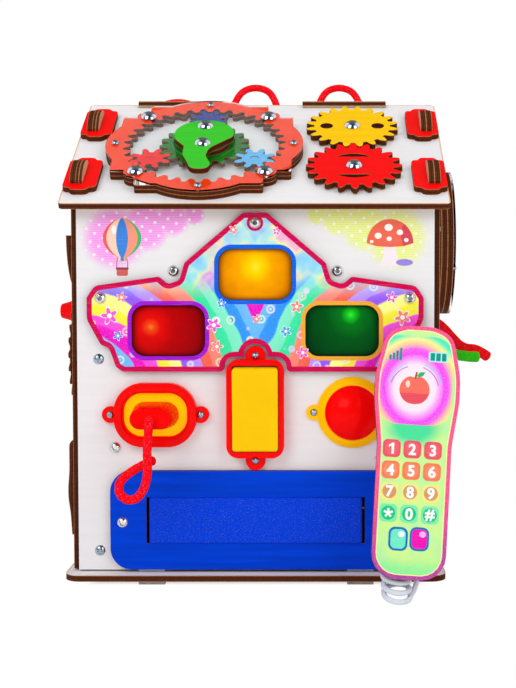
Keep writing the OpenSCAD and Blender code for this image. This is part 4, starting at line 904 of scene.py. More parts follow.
class PaintPlywood(bpy.types.Operator):
    """Paint, bare wood and burnt edges on every plywood sheet"""

    bl_idname = "busyhouse.paint_plywood"
    bl_label = "Plywood"

    def execute(self, context):
        p = context.scene.house_paints
        white, tan, bare = p.white, p.tan, p.bare
        roof_halo = ((0, ROOF_LEN / 2), (ROOF_HALF, ROOF_LEN / 2))
        roof_white = painted_face("roof_white", white, ROOF, roof_halo, shaded(tan, 1.3), fold=True)
        side_white = painted_face("side_white", white, SIDE)
        base_white = painted_face("base_white", white, LEVEL, ((0, 0), (BASE_HALF, BASE_HALF)), shaded(tan, 1.3))
        roof_edge = burnt_edge("roof_edge", p, ROOF, -4, fold=True)
        lock_edge = burnt_edge("lock_edge", p, ROOF, 0, fold=True)
        bare_roof = bare_wood("bare_roof", bare, ROOF)
        bare_side = bare_wood("bare_side", bare, SIDE)
        bare_flat = bare_wood("bare_flat", bare, LEVEL)
        lock_red = painted_face("lock_red", p.red, ROOF, fold=True, roughness=0.34)
        back_white = painted_face("back_white", white, BACK)
        left, right = -OUT_RIGHT, OUT_RIGHT
        sheets = (
            ("base_plate", base_white, bare_flat, [UP], burnt_edge("base_edge", p, LEVEL, 5)),
            ("back_wall", back_white, bare_flat, [-OUT_FRONT], burnt_edge("back_edge", p, FRONT, -224)),
            ("left_wall", side_white, bare_side, [left], burnt_edge("side_edge", p, SIDE, -121)),
            ("right_wall", side_white, bare_side, [right], burnt_edge("right_edge", p, SIDE, 117)),
            ("gable_doublers", bare_side, bare_side, [right, left], burnt_edge("doubler_edge", p, SIDE, 113)),
            ("front_roof", roof_white, bare_roof, [OUT_ROOF], roof_edge),
            ("back_roof", roof_white, bare_roof, [OUT_BACK_ROOF], roof_edge),
            ("roof_lock_plates", lock_red, bare_roof, [OUT_ROOF, OUT_BACK_ROOF], lock_edge),
        )
        for node, face, back, facing, edge in sheets:
            dress(node, face, back, facing=facing, edge=edge)
        dress("corner_posts", bare_wood("post_wood", bare, SIDE))
        dress("phone_peg", bare_wood("peg_wood", shaded(bare, 1.05), turned("Z", 90)))
        self.paint_gears(p, bare_roof)
        self.paint_sides(p, bare_side)
        return {"FINISHED"}

    def paint_gears(self, p, bare_roof):
        ring_edge = burnt_edge("ring_edge", p, ROOF, 0, 3.05)
        inner_edge = burnt_edge("inner_gear_edge", p, ROOF, 2.3, 3.3)
        pair_edge = burnt_edge("pair_edge", p, ROOF, 0.8)
        knob_edge = burnt_edge("knob_edge", p, ROOF, 10.1)
        sheets = (
            ("ring_gear", p.ring_red, ring_edge), ("planet_red", p.red, inner_edge),
            ("planet_blue", p.blue, inner_edge), ("planet_light_blue", p.light_blue, inner_edge),
            ("sun_gear", p.green, inner_edge), ("turn_knob", p.light_green, knob_edge),
            ("yellow_gear", p.yellow, pair_edge), ("red_gear", p.red, pair_edge),
        )
        for node, colour, edge in sheets:
            face = painted_face(node + "_paint", colour, ROOF, grain=0.06)
            dress(node, face, bare_roof, facing=[OUT_ROOF], edge=edge)
        self.paint_pins(p)

    def paint_pins(self, p):
        """White carrier whose pin ends are painted like the gears that they hold."""
        planets = (("planet_red", p.red), ("planet_blue", p.blue), ("planet_light_blue", p.light_blue))
        pins = [painted_face(node + "_pin", colour, ROOF) for node, colour in planets]
        dress("planet_carrier", moulded("carrier_white", paint("e8e8e6"), 0.3), *pins)
        middles = [sum(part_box(node), Vector()) / 2 for node, _ in planets]
        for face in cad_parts["planet_carrier"].data.polygons:
            gaps = [(face.center - m).length for m in middles]
            if face.normal.dot(OUT_ROOF) > 0.9 and min(gaps) < 0.004:
                face.material_index = 1 + gaps.index(min(gaps))

    def paint_sides(self, p, bare_side):
        red, yellow, green = (
            painted_face(name, colour, SIDE, roughness=0.36)
            for name, colour in (("side_red", p.red), ("side_yellow", p.yellow), ("side_green", p.light_green))
        )
        left, right = [-OUT_RIGHT], [OUT_RIGHT]
        sheets = (
            ("left_half_plate", yellow, left, "half_edge", -125), ("left_wave_plate", green, left, "wave_edge", -125),
            ("side_gear", red, left, "side_gear_edge", -125.8), ("maze_back", bare_side, right, "maze_back_edge", 121),
            ("maze_walls", red, right, "maze_wall_edge", 129),
        )
        for node, face, facing, edge, low in sheets:
            dress(node, face, bare_side, facing=facing, edge=burnt_edge(edge, p, SIDE, low))


class FinishHardware(bpy.types.Operator):
    """Bolts, screws, nuts, spring, cells, wires and switches"""

    bl_idname = "busyhouse.finish_hardware"
    bl_label = "Hardware"

    def execute(self, context):
        chrome = metal("chrome", (0.7, 0.76, 0.83), 0.08)
        zinc = metal("zinc", (0.46, 0.57, 0.66), 0.2)
        bright = metal("bright_steel", (0.84, 0.85, 0.86), 0.16)
        for node in ("dome_bolts", "knob_bolts", "maze_ball"):
            dress(node, chrome)
        for node in ("wall_screws", "bolt_nuts", "small_screws"):
            dress(node, zinc)
        self.fit_spring(zinc)
        dress("panel_screws", bright)
        dress("batteries", metal("cell_wrap", paint("8f9399"), 0.35))
        inside = (
            ("contact_switches", "switch_black", "1c1c20", 0.45), ("battery_box", "box_black", "18181b", 0.5),
            ("wiring", "wire_red", "b4201a", 0.4), ("led_lamps", "lamp_board", "e6e9e4", 0.35),
        )
        for node, name, code, roughness in inside:
            dress(node, moulded(name, paint(code), roughness))
        return {"FINISHED"}

    def fit_spring(self, zinc):
        """Spring behind the push button, as a piece of its own on the house."""
        low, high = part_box("button_spring")
        seat = (low + high) / 2
        seat.y = high.y
        coil = node_mesh("button_spring")
        spring = finish_piece("button_coil", coil, [zinc], HOUSE, "steel", ["button_spring"], 60)
        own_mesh(spring)


class FinishSwitches(bpy.types.Operator):
    """Moulded housings, plug, rocker key, push button and side knob"""

    bl_idname = "busyhouse.finish_switches"
    bl_label = "Switches"

    def execute(self, context):
        red = moulded("plastic_red", paint("fa0505"), 0.2)
        yellow = moulded("plastic_yellow", paint("ffc800"), 0.24)
        # The fourth number of insert, amber ring and button is a painted glow: they give off light of their own colour
        # though no lamp is in them, which lifts the insert out of the shade of its recess.
        insert = moulded("insert_yellow", paint("ffc400"), 0.24, 0.3)
        amber = moulded("plastic_amber", paint("ffbc00"), 0.22, 0.14)
        button = moulded("button_red", paint("f20303"), 0.16, 0.16, 0.06)
        plug = moulded("plug_red", paint("fa0505"), 0.24, 0.0, 0.03)
        dress("side_knob", red)
        pieces = (
            ("socket_housing", HOUSE, red, "red_plastic", 1.3), ("key_housing", HOUSE, red, "red_plastic", 1.3),
            ("plug", "plug_set", plug, "red_plastic", 0.9), ("push_button", "button", button, "red_plastic", 0.3),
            ("rocker_key", "key", yellow, "yellow_plastic", 1.5),
            ("socket_insert", HOUSE, insert, "yellow_plastic", 0.5),
            ("button_housing", HOUSE, amber, "yellow_plastic", 0.7),
        )
        for node, body, material, slot, width in pieces:
            finish_piece(node + "_moulding", softened(node, width), [material], body, slot, [node], 24)
        return {"FINISHED"}


class LightLenses(bpy.types.Operator):
    """Three coloured lenses, lit from behind"""

    bl_idname = "busyhouse.light_lenses"
    bl_label = "Lenses"

    def execute(self, context):
        yellow = [(0, "fff63c"), (0.14, "ffe000"), (0.42, "f5a800"), (0.75, "e28c00"), (1, "c27000")]
        red = [(0, "ff8a2c"), (0.07, "ff4a10"), (0.18, "ee0c04"), (0.45, "c00203"), (1, "8a0103")]
        green = [(0, "38f83c"), (0.09, "14c81c"), (0.2, "047818"), (0.5, "025214"), (1, "013410")]
        lenses = (
            ("lens_yellow", WINDOWS["top"], paint("8a4c00"), yellow, (0.1, 210.1), 27.0),
            ("lens_red", WINDOWS["left"], paint("4c0206"), red, (-68.3, 170.5), 34.0),
            ("lens_green", WINDOWS["right"], paint("012a0c"), green, (62.3, 178.7), 32.0),
        )
        for node, middle, deep, tones, spot, reach in lenses:
            dress(node, lit_lens(node + "_glow", middle, deep, tones, spot, reach))
        return {"FINISHED"}


AIR = 0.0001  # film of air under a cover


class FitCovers(bpy.types.Operator):
    """Clear acrylic over the gear set and the maze"""

    bl_idname = "busyhouse.fit_covers"
    bl_label = "Covers"

    def execute(self, context):
        clear = clear_sheet("acrylic")
        for node, flat, low in (("gear_cover", ROOF, 6.1), ("maze_cover", SIDE, 133.0)):
            bm = node_mesh(node)
            back = flat.inverted()
            out = flat.to_3x3() @ UP
            for v in bm.verts:
                if (back @ (v.co / MM)).z < low + 0.1:
                    v.co += out * AIR
            finish_piece(node + "_sheet", bm, [clear], HOUSE, "clear_sheet", [node], 28)
        return {"FINISHED"}


EAR_CORNER, EAR_CORNER_REACH = (8.0, 151.25), 1.2  # the plaque's corners beside the key's ear, in millimetres
HOLE_REACH, WINDOW_REACH = 0.012, 0.1  # a screw hole and a window are smaller than this, in metres
SCREW_LOOP = (3.2, 5.4)  # radii of the border's loop round the upper screw
FLOWERS = (  # x, y, size and ink
    (-95, 178, 5.4, 0), (-89.5, 165, 3.0, 1), (-87, 190, 3.2, 2), (-27, 172, 4.6, 0), (-25, 158, 3.8, 2),
    (-22, 186, 2.8, 1), (20, 168, 3.4, 1), (27, 184, 4.0, 2), (31, 154, 3.8, 0), (89, 190, 3.6, 0), (96, 177, 5.0, 2),
    (89.5, 163, 3.0, 1), (-14, 234, 3.0, 2), (14, 233, 2.6, 0), (1, 176, 2.8, 2),
)
FLOWER_INKS = {"pink": "f45ad0", "blue": "4a9cf0", "coral": "f8887e", "white": "fdf6fa"}
PASTELS = (
    "f4624e", "fa8474", "34e2a0", "7cecc6", "2c94f4", "68bafa", "ea0cc4", "f44cd8", "f6ee38", "fbf88c", "9458ee",
    "b88cf6",
)


class PrintPlaque(bpy.types.Operator):
    """Light plaque with its printed border, window rims and pastel ground"""

    bl_idname = "busyhouse.print_plaque"
    bl_label = "Plaque"

    def execute(self, context):
        values, p = context.scene.house_prints, context.scene.house_paints
        bm = node_mesh("light_plaque")
        self.square_corners(bm)
        near = (FRONT_Y - SHEET + 0.1) * MM
        front = [f for f in bm.faces if f.normal.dot(OUT_FRONT) > 0.9 and f.calc_center_median().y < near]
        front = bmesh.ops.split(bm, geom=front, use_only_faces=True)["geom"]
        front = [f for f in front if isinstance(f, bmesh.types.BMFace)]
        holes, windows, screws = [], [], []
        for loop in self.openings(front):
            points = [v.co for e in loop for v in e.verts]
            reach = max((point - points[0]).length for point in points)
            if reach < WINDOW_REACH:
                patch = bmesh.ops.edgeloop_fill(bm, edges=loop)["faces"]
                if reach < HOLE_REACH:
                    holes += patch
                    screws.append(sum(points, Vector()) / len(points) / MM)
                else:
                    windows += patch
        ring = inset(bm, front + holes + windows, values.border_width)
        bmesh.ops.delete(bm, geom=holes, context="FACES_ONLY")
        rims = inset(bm, front + ring, values.rim_width, outline=False)
        bmesh.ops.delete(bm, geom=windows, context="FACES_ONLY")
        on_border, on_edge, on_back, on_ground = 0, 4, 5, 6
        for f in bm.faces:
            f.material_index = on_back if f.normal.dot(OUT_FRONT) < -0.9 else on_edge
        for f in front:
            f.material_index = on_ground
        for f in ring:
            f.material_index = on_border
        for f in rims:
            f.material_index = self.rim_of(f.calc_center_median() / MM)
        bmesh.ops.remove_doubles(bm, verts=bm.verts[:], dist=2e-6)
        border = printed("plaque_border", values.border)
        materials = [
            border, printed("rim_top", values.rim_top),
            printed("rim_left", values.rim_left), printed("rim_right", values.rim_right),
            burnt_edge("plaque_edge", p, FRONT, 0), bare_wood("plaque_back", p.bare, FRONT),
            self.ground(),
        ]
        finish_piece("plaque_print", bm, materials, HOUSE, "printed_ply", ["light_plaque"])
        self.flowers(border, max(screws, key=lambda spot: spot.z))
        return {"FINISHED"}

    def openings(self, faces):
        """Closed lines round a separate set of faces: its outline and its openings."""
        left = list(dict.fromkeys(e for f in faces for e in f.edges if e.is_boundary))
        while left:
            loop = [left.pop(0)]
            for edge in loop:
                near = [e for e in left if set(e.verts) & set(edge.verts)]
                loop += near
                left = [e for e in left if e not in near]
            yield loop

    def square_corners(self, bm):
        """The tight corners beside the key's ear as single points, so that the border follows them cleanly."""
        for side in (-1, 1):
            corner = Vector((side * EAR_CORNER[0], 0, EAR_CORNER[1])) * MM
            for depth in {round(v.co.y, 6) for v in bm.verts}:
                corner.y = depth
                near = [v for v in bm.verts if (v.co - corner).length < EAR_CORNER_REACH * MM]
                bmesh.ops.pointmerge(bm, verts=near, merge_co=corner)

    def flowers(self, border, screw):
        """Small printed flowers between the windows and on both wings, and the border's loop round the upper screw."""
        sheet = Print(FRONT, SHEET, 0.03)
        white, edge = len(FLOWER_INKS) - 1, len(FLOWER_INKS)
        for x, y, r, ink in FLOWERS:
            turn = x * 0.1
            sheet.shape(white, 0.03, petals(x, y, r * 1.16, turn))
            sheet.shape(ink, 0.05, petals(x, y, r, turn))
            sheet.shape(white, 0.07, ellipse(x, y, r * 0.3, None, 20))
        for start in (0.0, math.pi):
            arcs = [ellipse(screw.x, screw.z, r, None, 24, start, start + math.pi) for r in SCREW_LOOP]
            sheet.shape(edge, 0.04, band(*arcs))
        inks = [printed("flower_" + tone, paint(code)) for tone, code in FLOWER_INKS.items()]
        sheet.finish("plaque_flowers", HOUSE, inks + [border])

    def rim_of(self, spot):
        """Which window a rim face belongs to, from 1."""
        gaps = [math.hypot(spot.x - x, spot.z - z) for x, z in WINDOWS.values()]
        return 1 + gaps.index(min(gaps))

    def ground(self):
        """Pastel bands that spread from the lower corners, with bubbles, pale towards the top."""
        f = Finish("plaque_ground", 0.45, Specular_IOR_Level=0.04)
        spot = f.place(FRONT)
        x, y, _ = f.split(spot)
        side = f.math("ABSOLUTE", x)
        folded = f.add("CombineXYZ", side, y, 0.0).outputs[0]
        flat = f.vector("MULTIPLY", spot, (1, 1, 0))
        wave = f.math("MULTIPLY", f.noise(flat, 0.035), 9.0)
        reach = f.math("ADD", f.vector("DISTANCE", folded, (112, 128, 0)), wave)
        stops, count = [], len(PASTELS)
        for i, code in enumerate(PASTELS):
            stops += [(i / count + 0.004, code), ((i + 0.9) / count, shaded(paint(code), 1.06))]
        tone = f.ramp(f.math("FRACT", f.math("DIVIDE", reach, 84.0)), stops)
        cells = f.add("TexVoronoi", flat, None, 0.085, feature="F1")
        ring = f.math("ABSOLUTE", f.math("SUBTRACT", cells.outputs["Distance"], 0.2))
        bubble = f.step(ring, 0.02, 0.075, 0.85, 0.0)
        ink = f.mix(0.55, cells.outputs["Color"], (1, 1, 1))
        tone = f.mix(bubble, tone, ink)
        tone = f.mix(f.step(cells.outputs["Distance"], 0.05, 0.09, 0.6, 0.0), tone, (1, 1, 1))
        cloud = f.noise(flat, 0.05)
        pale = [(0.3, "7cc4f6"), (0.45, "a4e4f0"), (0.54, "f2f0b0"), (0.64, "ee9ae8"), (0.75, "f6f0c0")]
        tone = f.mix(f.step(y, 188.0, 206.0, 0.0, 0.85), tone, f.ramp(cloud, pale))
        weave = f.noise(spot, 1.6)
        tone = f.mix(f.step(weave, 0.45, 0.8, 0.0, 0.1), tone, (1, 1, 1))
        f.set("Base Color", tone)
        f.bump(weave, 0.06, 0.0001)
        return f.material


class PrintWall(bpy.types.Operator):
    """Front wall with two soft dotted patches, a balloon and a toadstool"""

    bl_idname = "busyhouse.print_wall"
    bl_label = "Front wall"

    def execute(self, context):
        p = context.scene.house_paints
        face = self.wall_face(p.white, p.tan)
        bare = bare_wood("front_inside", p.bare, FRONT)
        dress("front_wall", face, bare, facing=[OUT_FRONT], edge=burnt_edge("front_edge", p, FRONT, -4))
        panel = painted_face("panel_paint", p.panel_blue, FRONT, grain=0.15)
        dress("blue_panel", panel, bare, facing=[OUT_FRONT], edge=burnt_edge("panel_edge", p, FRONT, 0))
        self.balloon()
        self.toadstool()
        return {"FINISHED"}

    def wall_face(self, white, tan):
        f = Finish("wall_white", 0.5, Specular_IOR_Level=0.08)
        spot = f.place(FRONT)
        flat = f.vector("MULTIPLY", spot, (1, 1, 0))
        streak = wood_streak(f, spot)
        tone = f.mix(streak, shaded(white, 0.95), shaded(white, 1.04))
        patches = (
            (paint("f783ea"), 0.5, [(-92, 229, 24), (-72, 236, 19), (-54, 241, 13), (-40, 244, 8)]),
            (paint("e6f26a"), -0.5, [(92, 229, 24), (72, 236, 19), (54, 241, 13), (40, 244, 8)]),
        )
        x, y, _ = f.split(spot)
        lines = f.step(f.math("SINE", f.math("MULTIPLY", y, 4.2)), 0.2, 0.9, 0.0, 0.3)
        for colour, turn, rounds in patches:
            mask = 0.0
            for at_x, at_y, r in rounds:
                soft = f.step(f.vector("DISTANCE", flat, (at_x, at_y, 0)), r * 0.55, r, 1.0, 0.0)
                mask = f.math("MAXIMUM", mask, soft)
            grid = f.add("Mapping", flat, (0, 0, 0), (0, 0, turn), (0.16, 0.16, 1.0), vector_type="POINT").outputs[0]
            cell = f.vector("SUBTRACT", f.vector("FRACTION", grid), (0.5, 0.5, 0))
            dots = f.step(f.vector("LENGTH", f.vector("MULTIPLY", cell, (1, 1, 0))), 0.13, 0.19, 1.0, 0.0)
            ink = f.mix(f.math("MAXIMUM", f.math("MULTIPLY", dots, 0.85), lines), colour, (0.97, 0.95, 0.97))
            tone = f.mix(f.math("MULTIPLY", mask, 0.85), tone, ink)
        rim = ragged(f, spot, f.math("ABSOLUTE", x))
        f.set("Base Color", f.mix(f.step(rim, 119.9, 121.3), tone, shaded(tan, 1.3)))
        paint_skin(f, spot, streak, 0.36, 0.52)
        return f.material

    def balloon(self):
        """Striped balloon with its basket, printed on the left patch."""
        sheet = Print(FRONT, 0.0, 0.03)
        x, y, r = -87.0, 229.5, 12.6
        top, low = y + r, y - r * 1.25
        stripes = 5
        steps = [k / 24 for k in range(1, 25)]

        def side(share, t):
            swell = math.sin(math.pi * min(1.0, t * 1.06)) ** 0.62 if t < 0.94 else 0.28
            return (x + r * share * max(swell, 0.22 if t > 0.5 else 0.0), top + (low - top) * t)

        for i in range(stripes):
            a, b = (math.sin((2 * k / stripes - 1) * math.pi / 2) for k in (i, i + 1))
            sheet.shape(i, 0.05, [(x, top)] + [side(a, t) for t in steps] + [side(b, t) for t in reversed(steps)])
        sheet.shape(5, 0.06, rounded_box(x, low - 7.0, 7.4, 5.4, 1.2))
        sheet.shape(6, 0.08, rounded_box(x, low - 4.9, 8.4, 1.5, 0.6))
        for s in (-1, 1):
            cord = [(x + s * 3.3, low), (x + s * 3.7, low), (x + s * 3.9, low - 4.6), (x + s * 3.4, low - 4.6)]
            sheet.shape(6, 0.05, cord[::s])
        sheet.shape(7, 0.07, ellipse(x - 5.2, y + 4.6, 1.5, 2.9, 24))
        inks = ["f0605e", "fbd2bc", "3f86dd", "f59a80", "46b96a", "d4645c", "9a3f62", "fff4ee"]
        sheet.finish("balloon_print", HOUSE, inks, "balloon_ink")

    def toadstool(self):
        """Spotted toadstool with a leaf, printed on the right patch."""
        sheet = Print(FRONT, 0.0, 0.03)
        x, y = 88.0, 226.0
        stem = [(-3.6, 0), (-4.2, -8), (-6.6, -15.6), (6.6, -15.6), (4.2, -8), (3.6, 0)]
        dots = ((-7.8, 4.2, 2.3), (-1, 9.6, 2.7), (6.4, 6.4, 2.1), (-0.6, 2.2, 1.7), (10.6, 1.4, 1.5), (-12, 0.4, 1.2))
        sheet.shape(0, 0.05, [(x + dx, y + dy) for dx, dy in stem])
        sheet.shape(1, 0.06, ellipse(x, y + 0.6, 10.4, 2.6, 40))
        cap = ellipse(x, y - 0.6, 15.2, 15.6, 40, 0.0, math.pi)
        sheet.shape(2, 0.08, cap + [(x - 9, y - 2.6), (x, y - 3.2), (x + 9, y - 2.6)])
        shade = ellipse(x, y - 0.6, 15.2, 15.6, 20, 0.0, 0.95)
        sheet.shape(3, 0.09, shade + [(x + 6.4, y + 6), (x + 8.6, y - 2.4)])
        for dx, dy, r in dots:
            sheet.shape(4, 0.1, ellipse(x + dx, y + dy, r, r * 0.86, 24))
        sheet.shape(5, 0.07, ellipse(x + 9.4, y - 13.2, 5.6, 2.2, 24))
        inks = ["f6e8ee", "c4a6dc", "ee6a52", "d84a58", "fff6f2", "9a86e0"]
        sheet.finish("toadstool_print", HOUSE, inks, "toadstool_ink")


ONE = [(-0.1, -3.5), (1.5, -3.5), (1.5, 3.5), (0.3, 3.5), (-1.9, 2.0), (-1.9, 0.6), (-0.1, 1.6)]
STAR = [
    (r * math.sin(math.radians(a)), r * math.cos(math.radians(a)))
    for k in range(5)
    for a, r in ((72 * k - 14, 3.0), (72 * k + 14, 3.0), (72 * k + 36, 1.1))
]
GLYPHS = {"1": ("one", ONE), "*": ("star", STAR)}
KEY_COLUMNS, KEY_ROWS = (-14.2, -1.2, 11.8), (80.7, 67.2, 53.7, 40.3)
KEY_INKS = (
    "ec5568", "f47e58", "f0e88a", "7fe8b0", "ef626c", "f58c64", "d89a62", "08c87a", "1470c0", "72e8c4", "f018b4",
    "e2fbf6", "ffb4ee",
)
FACE_LINE = 0.0007  # pale line inside the phone's border


class PrintPhone(bpy.types.Operator):
    """Toy phone with its printed border, screen, keys and buttons"""

    bl_idname = "busyhouse.print_phone"
    bl_label = "Phone"

    def execute(self, context):
        values, p = context.scene.house_prints, context.scene.house_paints
        bm = node_mesh("phone")
        front = [f for f in bm.faces if f.normal.dot(OUT_PHONE) > 0.95]
        ring = inset(bm, front, values.phone_border_width)
        line = inset(bm, front, FACE_LINE)
        on_face, on_border, on_edge, on_back, on_line = range(5)
        for f in bm.faces:
            f.material_index = on_back if f.normal.dot(OUT_PHONE) < -0.95 else on_edge
        for index, faces in ((on_face, front), (on_border, ring), (on_line, line)):
            for f in faces:
                f.material_index = index
        materials = [
            self.face(), self.border(values), burnt_edge("phone_edge", p, PHONE, 0),
            painted_face("phone_back", paint("e8a0c0"), PHONE), printed("phone_line", paint("f6f0a8"), PHONE),
        ]
        finish_piece("phone_print", bm, materials, "handset", "printed_ply", ["phone"])
        self.keys(values.key / MM)
        self.screen()
        return {"FINISHED"}

    def border(self, values):
        f = Finish("phone_border", 0.45, Specular_IOR_Level=0.04)
        spot = f.place(PHONE)
        _, up, _ = f.split(spot)
        tone = f.mix(f.step(up, 6.0, 62.0), values.phone_border_low, values.phone_border)
        dots = f.noise(spot, 1.8)
        f.set("Base Color", f.mix(f.step(dots, 0.4, 0.8, 0.0, 0.25), tone, (1, 0.75, 0.85)))
        f.bump(dots, 0.06, 0.0001)
        return f.material

    def face(self):
        """Yellow-green ground with mint at the ends, and the screen's round glow."""
        f = Finish("phone_face", 0.45, Specular_IOR_Level=0.04)
        spot = f.place(PHONE)
        flat = f.vector("MULTIPLY", spot, (1, 1, 0))
        x, up, _ = f.split(flat)
        cloud = f.noise(flat, 0.045)
        ground = f.mix(f.step(cloud, 0.35, 0.7), paint("d2f58c"), paint("b6f0a2"))
        side = f.step(f.math("ABSOLUTE", x), 12.0, 24.0, 0.0, 0.45)
        ground = f.mix(side, ground, paint("a6f0a8"))
        ground = f.mix(f.step(up, 16.0, 4.0, 0.0, 0.9), ground, paint("86f09a"))
        glow = f.vector("DISTANCE", f.vector("MULTIPLY", flat, (1, 1.35, 0)), (-1.2, 95.0 * 1.35, 0))
        ground = f.mix(f.step(glow, 9.0, 22.0, 0.9, 0.0), ground, paint("12dc9a"))
        middle, half, corner = (-1.5, 124.9, 0), (23.8, 28.7), 13.0
        inner = f.vector("ABSOLUTE", f.vector("SUBTRACT", flat, middle))
        inner = f.vector("SUBTRACT", inner, (half[0] - corner, half[1] - corner, 0))
        outside = f.math("SUBTRACT", f.vector("LENGTH", f.vector("MAXIMUM", inner, (0, 0, 0))), corner)
        round_at = f.vector("MULTIPLY", f.vector("SUBTRACT", flat, (-1.8, 120.0, 0)), (1, 0.86, 0))
        rainbow = [
            (0.0, "f6eef2"), (0.38, "f4e2ee"), (0.47, "f49cf2"), (0.56, "f23af0"), (0.64, "f25ae6"), (0.72, "fbc49a"),
            (0.8, "f5f08c"), (0.88, "52ecb4"), (1.0, "0ce0c4"),
        ]
        glow = f.ramp(f.math("DIVIDE", f.vector("LENGTH", round_at), 34.0), rainbow)
        weave = f.noise(spot, 1.5)
        glow = f.mix(f.step(weave, 0.45, 0.8, 0.0, 0.25), glow, (1, 1, 1))
        tone = f.mix(f.step(outside, -0.35, 0.1), glow, ground)
        f.set("Base Color", f.mix(f.step(weave, 0.5, 0.85, 0.0, 0.15), tone, (1, 1, 1)))
        f.bump(weave, 0.06, 0.0001)
        return f.material

    def keys(self, size):
        sheet = Print(PHONE, PHONE_THICK, 0.05)
        for row, up in enumerate(KEY_ROWS):
            for x in KEY_COLUMNS:
                sheet.shape(row, 0.06, rounded_box(x, up, size, size, 3.0))
                sheet.shape(4 + row, 0.1, ellipse(x, up, size * 0.39))
        for x, up, ink, shine in ((-7.2, 24.6, 9, 11), (6.0, 25.2, 10, 12)):
            sheet.shape(8, 0.06, rounded_box(x, up, 12.0, 14.6, 4.0))
            sheet.shape(ink, 0.1, rounded_box(x, up, 9.4, 12.0, 3.0))
            sheet.shape(shine, 0.13, ellipse(x + 1.9, up + 3.0, 2.1, 1.9, 24))
        sheet.finish("phone_keys", "handset", KEY_INKS, "key_ink")
        white = printed("digit_white", (0.96, 0.96, 0.96), PHONE)
        for row, up in zip(("123", "456", "789", "*0#"), KEY_ROWS):
            for sign, x in zip(row, KEY_COLUMNS):
                if sign in GLYPHS:
                    name, outline = GLYPHS[sign]
                    sheet = Print(PHONE, PHONE_THICK, 0.05)
                    sheet.shape(0, 0.2, [(x + gx, up + gy) for gx, gy in outline])
                    sheet.finish("phone_digit_" + name, "handset", [white])
                else:
                    self.digit(sign, x, up, size * 0.84, white)

    def digit(self, sign, x, up, size, white):
        curve = bpy.data.curves.new("digit", "FONT")
        curve.body, curve.size = sign, size * MM
        curve.align_x, curve.align_y = "CENTER", "CENTER"
        curve.extrude, curve.offset = 0.00008, 0.00034
        curve.resolution_u = 7
        text = bpy.data.objects.new("digit", curve)
        bpy.context.scene.collection.objects.link(text)
        bpy.context.view_layer.update()
        mesh = bpy.data.meshes.new_from_object(text.evaluated_get(bpy.context.evaluated_depsgraph_get()))
        bpy.data.objects.remove(text)
        heights = [v.co.y for v in mesh.vertices]
        drop = (min(heights) + max(heights)) / 2
        spot = PHONE.copy()
        spot.translation = spot.translation * MM
        for v in mesh.vertices:
            v.co = spot @ (v.co + Vector((x * MM, up * MM - drop, (PHONE_THICK + 0.12) * MM)))
        bm = bmesh.new()
        bm.from_mesh(mesh)
        bpy.data.meshes.remove(mesh)
        bmesh.ops.remove_doubles(bm, verts=bm.verts[:], dist=1e-7)
        name = "hash" if sign == "#" else sign
        finish_piece("phone_digit_" + name, bm, [white], "handset", "printed_ply")

    def screen(self):
        """Apple in the screen's glow, two arcs, signal bars and a battery sign."""
        sheet = Print(PHONE, PHONE_THICK, 0.05)
        x, up = -1.8, 118.6
        apple = []
        for k in range(72):
            a = math.tau * k / 72
            hollow = 0.16 * math.exp(-((a - math.pi / 2) ** 2) / 0.08)
            foot = 0.1 * math.exp(-((a - 1.5 * math.pi) ** 2) / 0.05)
            r = 9.6 * (1 - hollow - foot)
            apple.append((x + r * math.cos(a), up + 0.98 * r * math.sin(a)))
        stalk = [(-0.5, 7.2), (0.7, 7.2), (1.6, 11.4), (0.4, 11.6)]
        leaf = [(2.6, 8.2), (5.0, 9.2), (6.4, 11.8), (3.0, 11.6), (1.0, 9.0)]
        sheet.shape(0, 0.06, apple)
        sheet.shape(1, 0.08, ellipse(x, up, 9.3, 9.1, 40, math.pi * 1.08, math.pi * 1.92))
        sheet.shape(2, 0.1, ellipse(x - 4.4, up + 3.6, 1.4, 2.3, 24))
        sheet.shape(3, 0.08, [(x + dx, up + dy) for dx, dy in stalk])
        sheet.shape(4, 0.1, [(x + dx, up + dy) for dx, dy in leaf])
        for r, w, ink in ((17.2, 0.7, 5), (15.2, 0.5, 6)):
            for start, end in ((0.25, 1.25), (math.pi - 1.25, math.pi - 0.25)):
                arcs = [ellipse(x, up, reach, None, 24, start, end) for reach in (r, r + w)]
                sheet.shape(ink, 0.06, band(*arcs)[::-1])
        for k, h in enumerate((3.2, 4.6, 6.2, 8.0)):
            sheet.shape(7, 0.06, rounded_box(-18.2 + 2.2 * k, 137.2 + h / 2, 1.5, h, 0.3, 3))
        sheet.shape(8, 0.05, rounded_box(12.4, 140.6, 12.6, 6.6, 1.2))
        for k in range(3):
            sheet.shape(7, 0.08, rounded_box(8.8 + 3.6 * k, 140.6, 2.8, 5.0, 0.3, 3))
        inks = ["f4705f", "e8505e", "ffd8cc", "a0583c", "36b46a", "a4cdf2", "c44fd0", "0b9a8c", "a8f0e6"]
        sheet.finish("phone_screen", "handset", inks, "screen_ink")


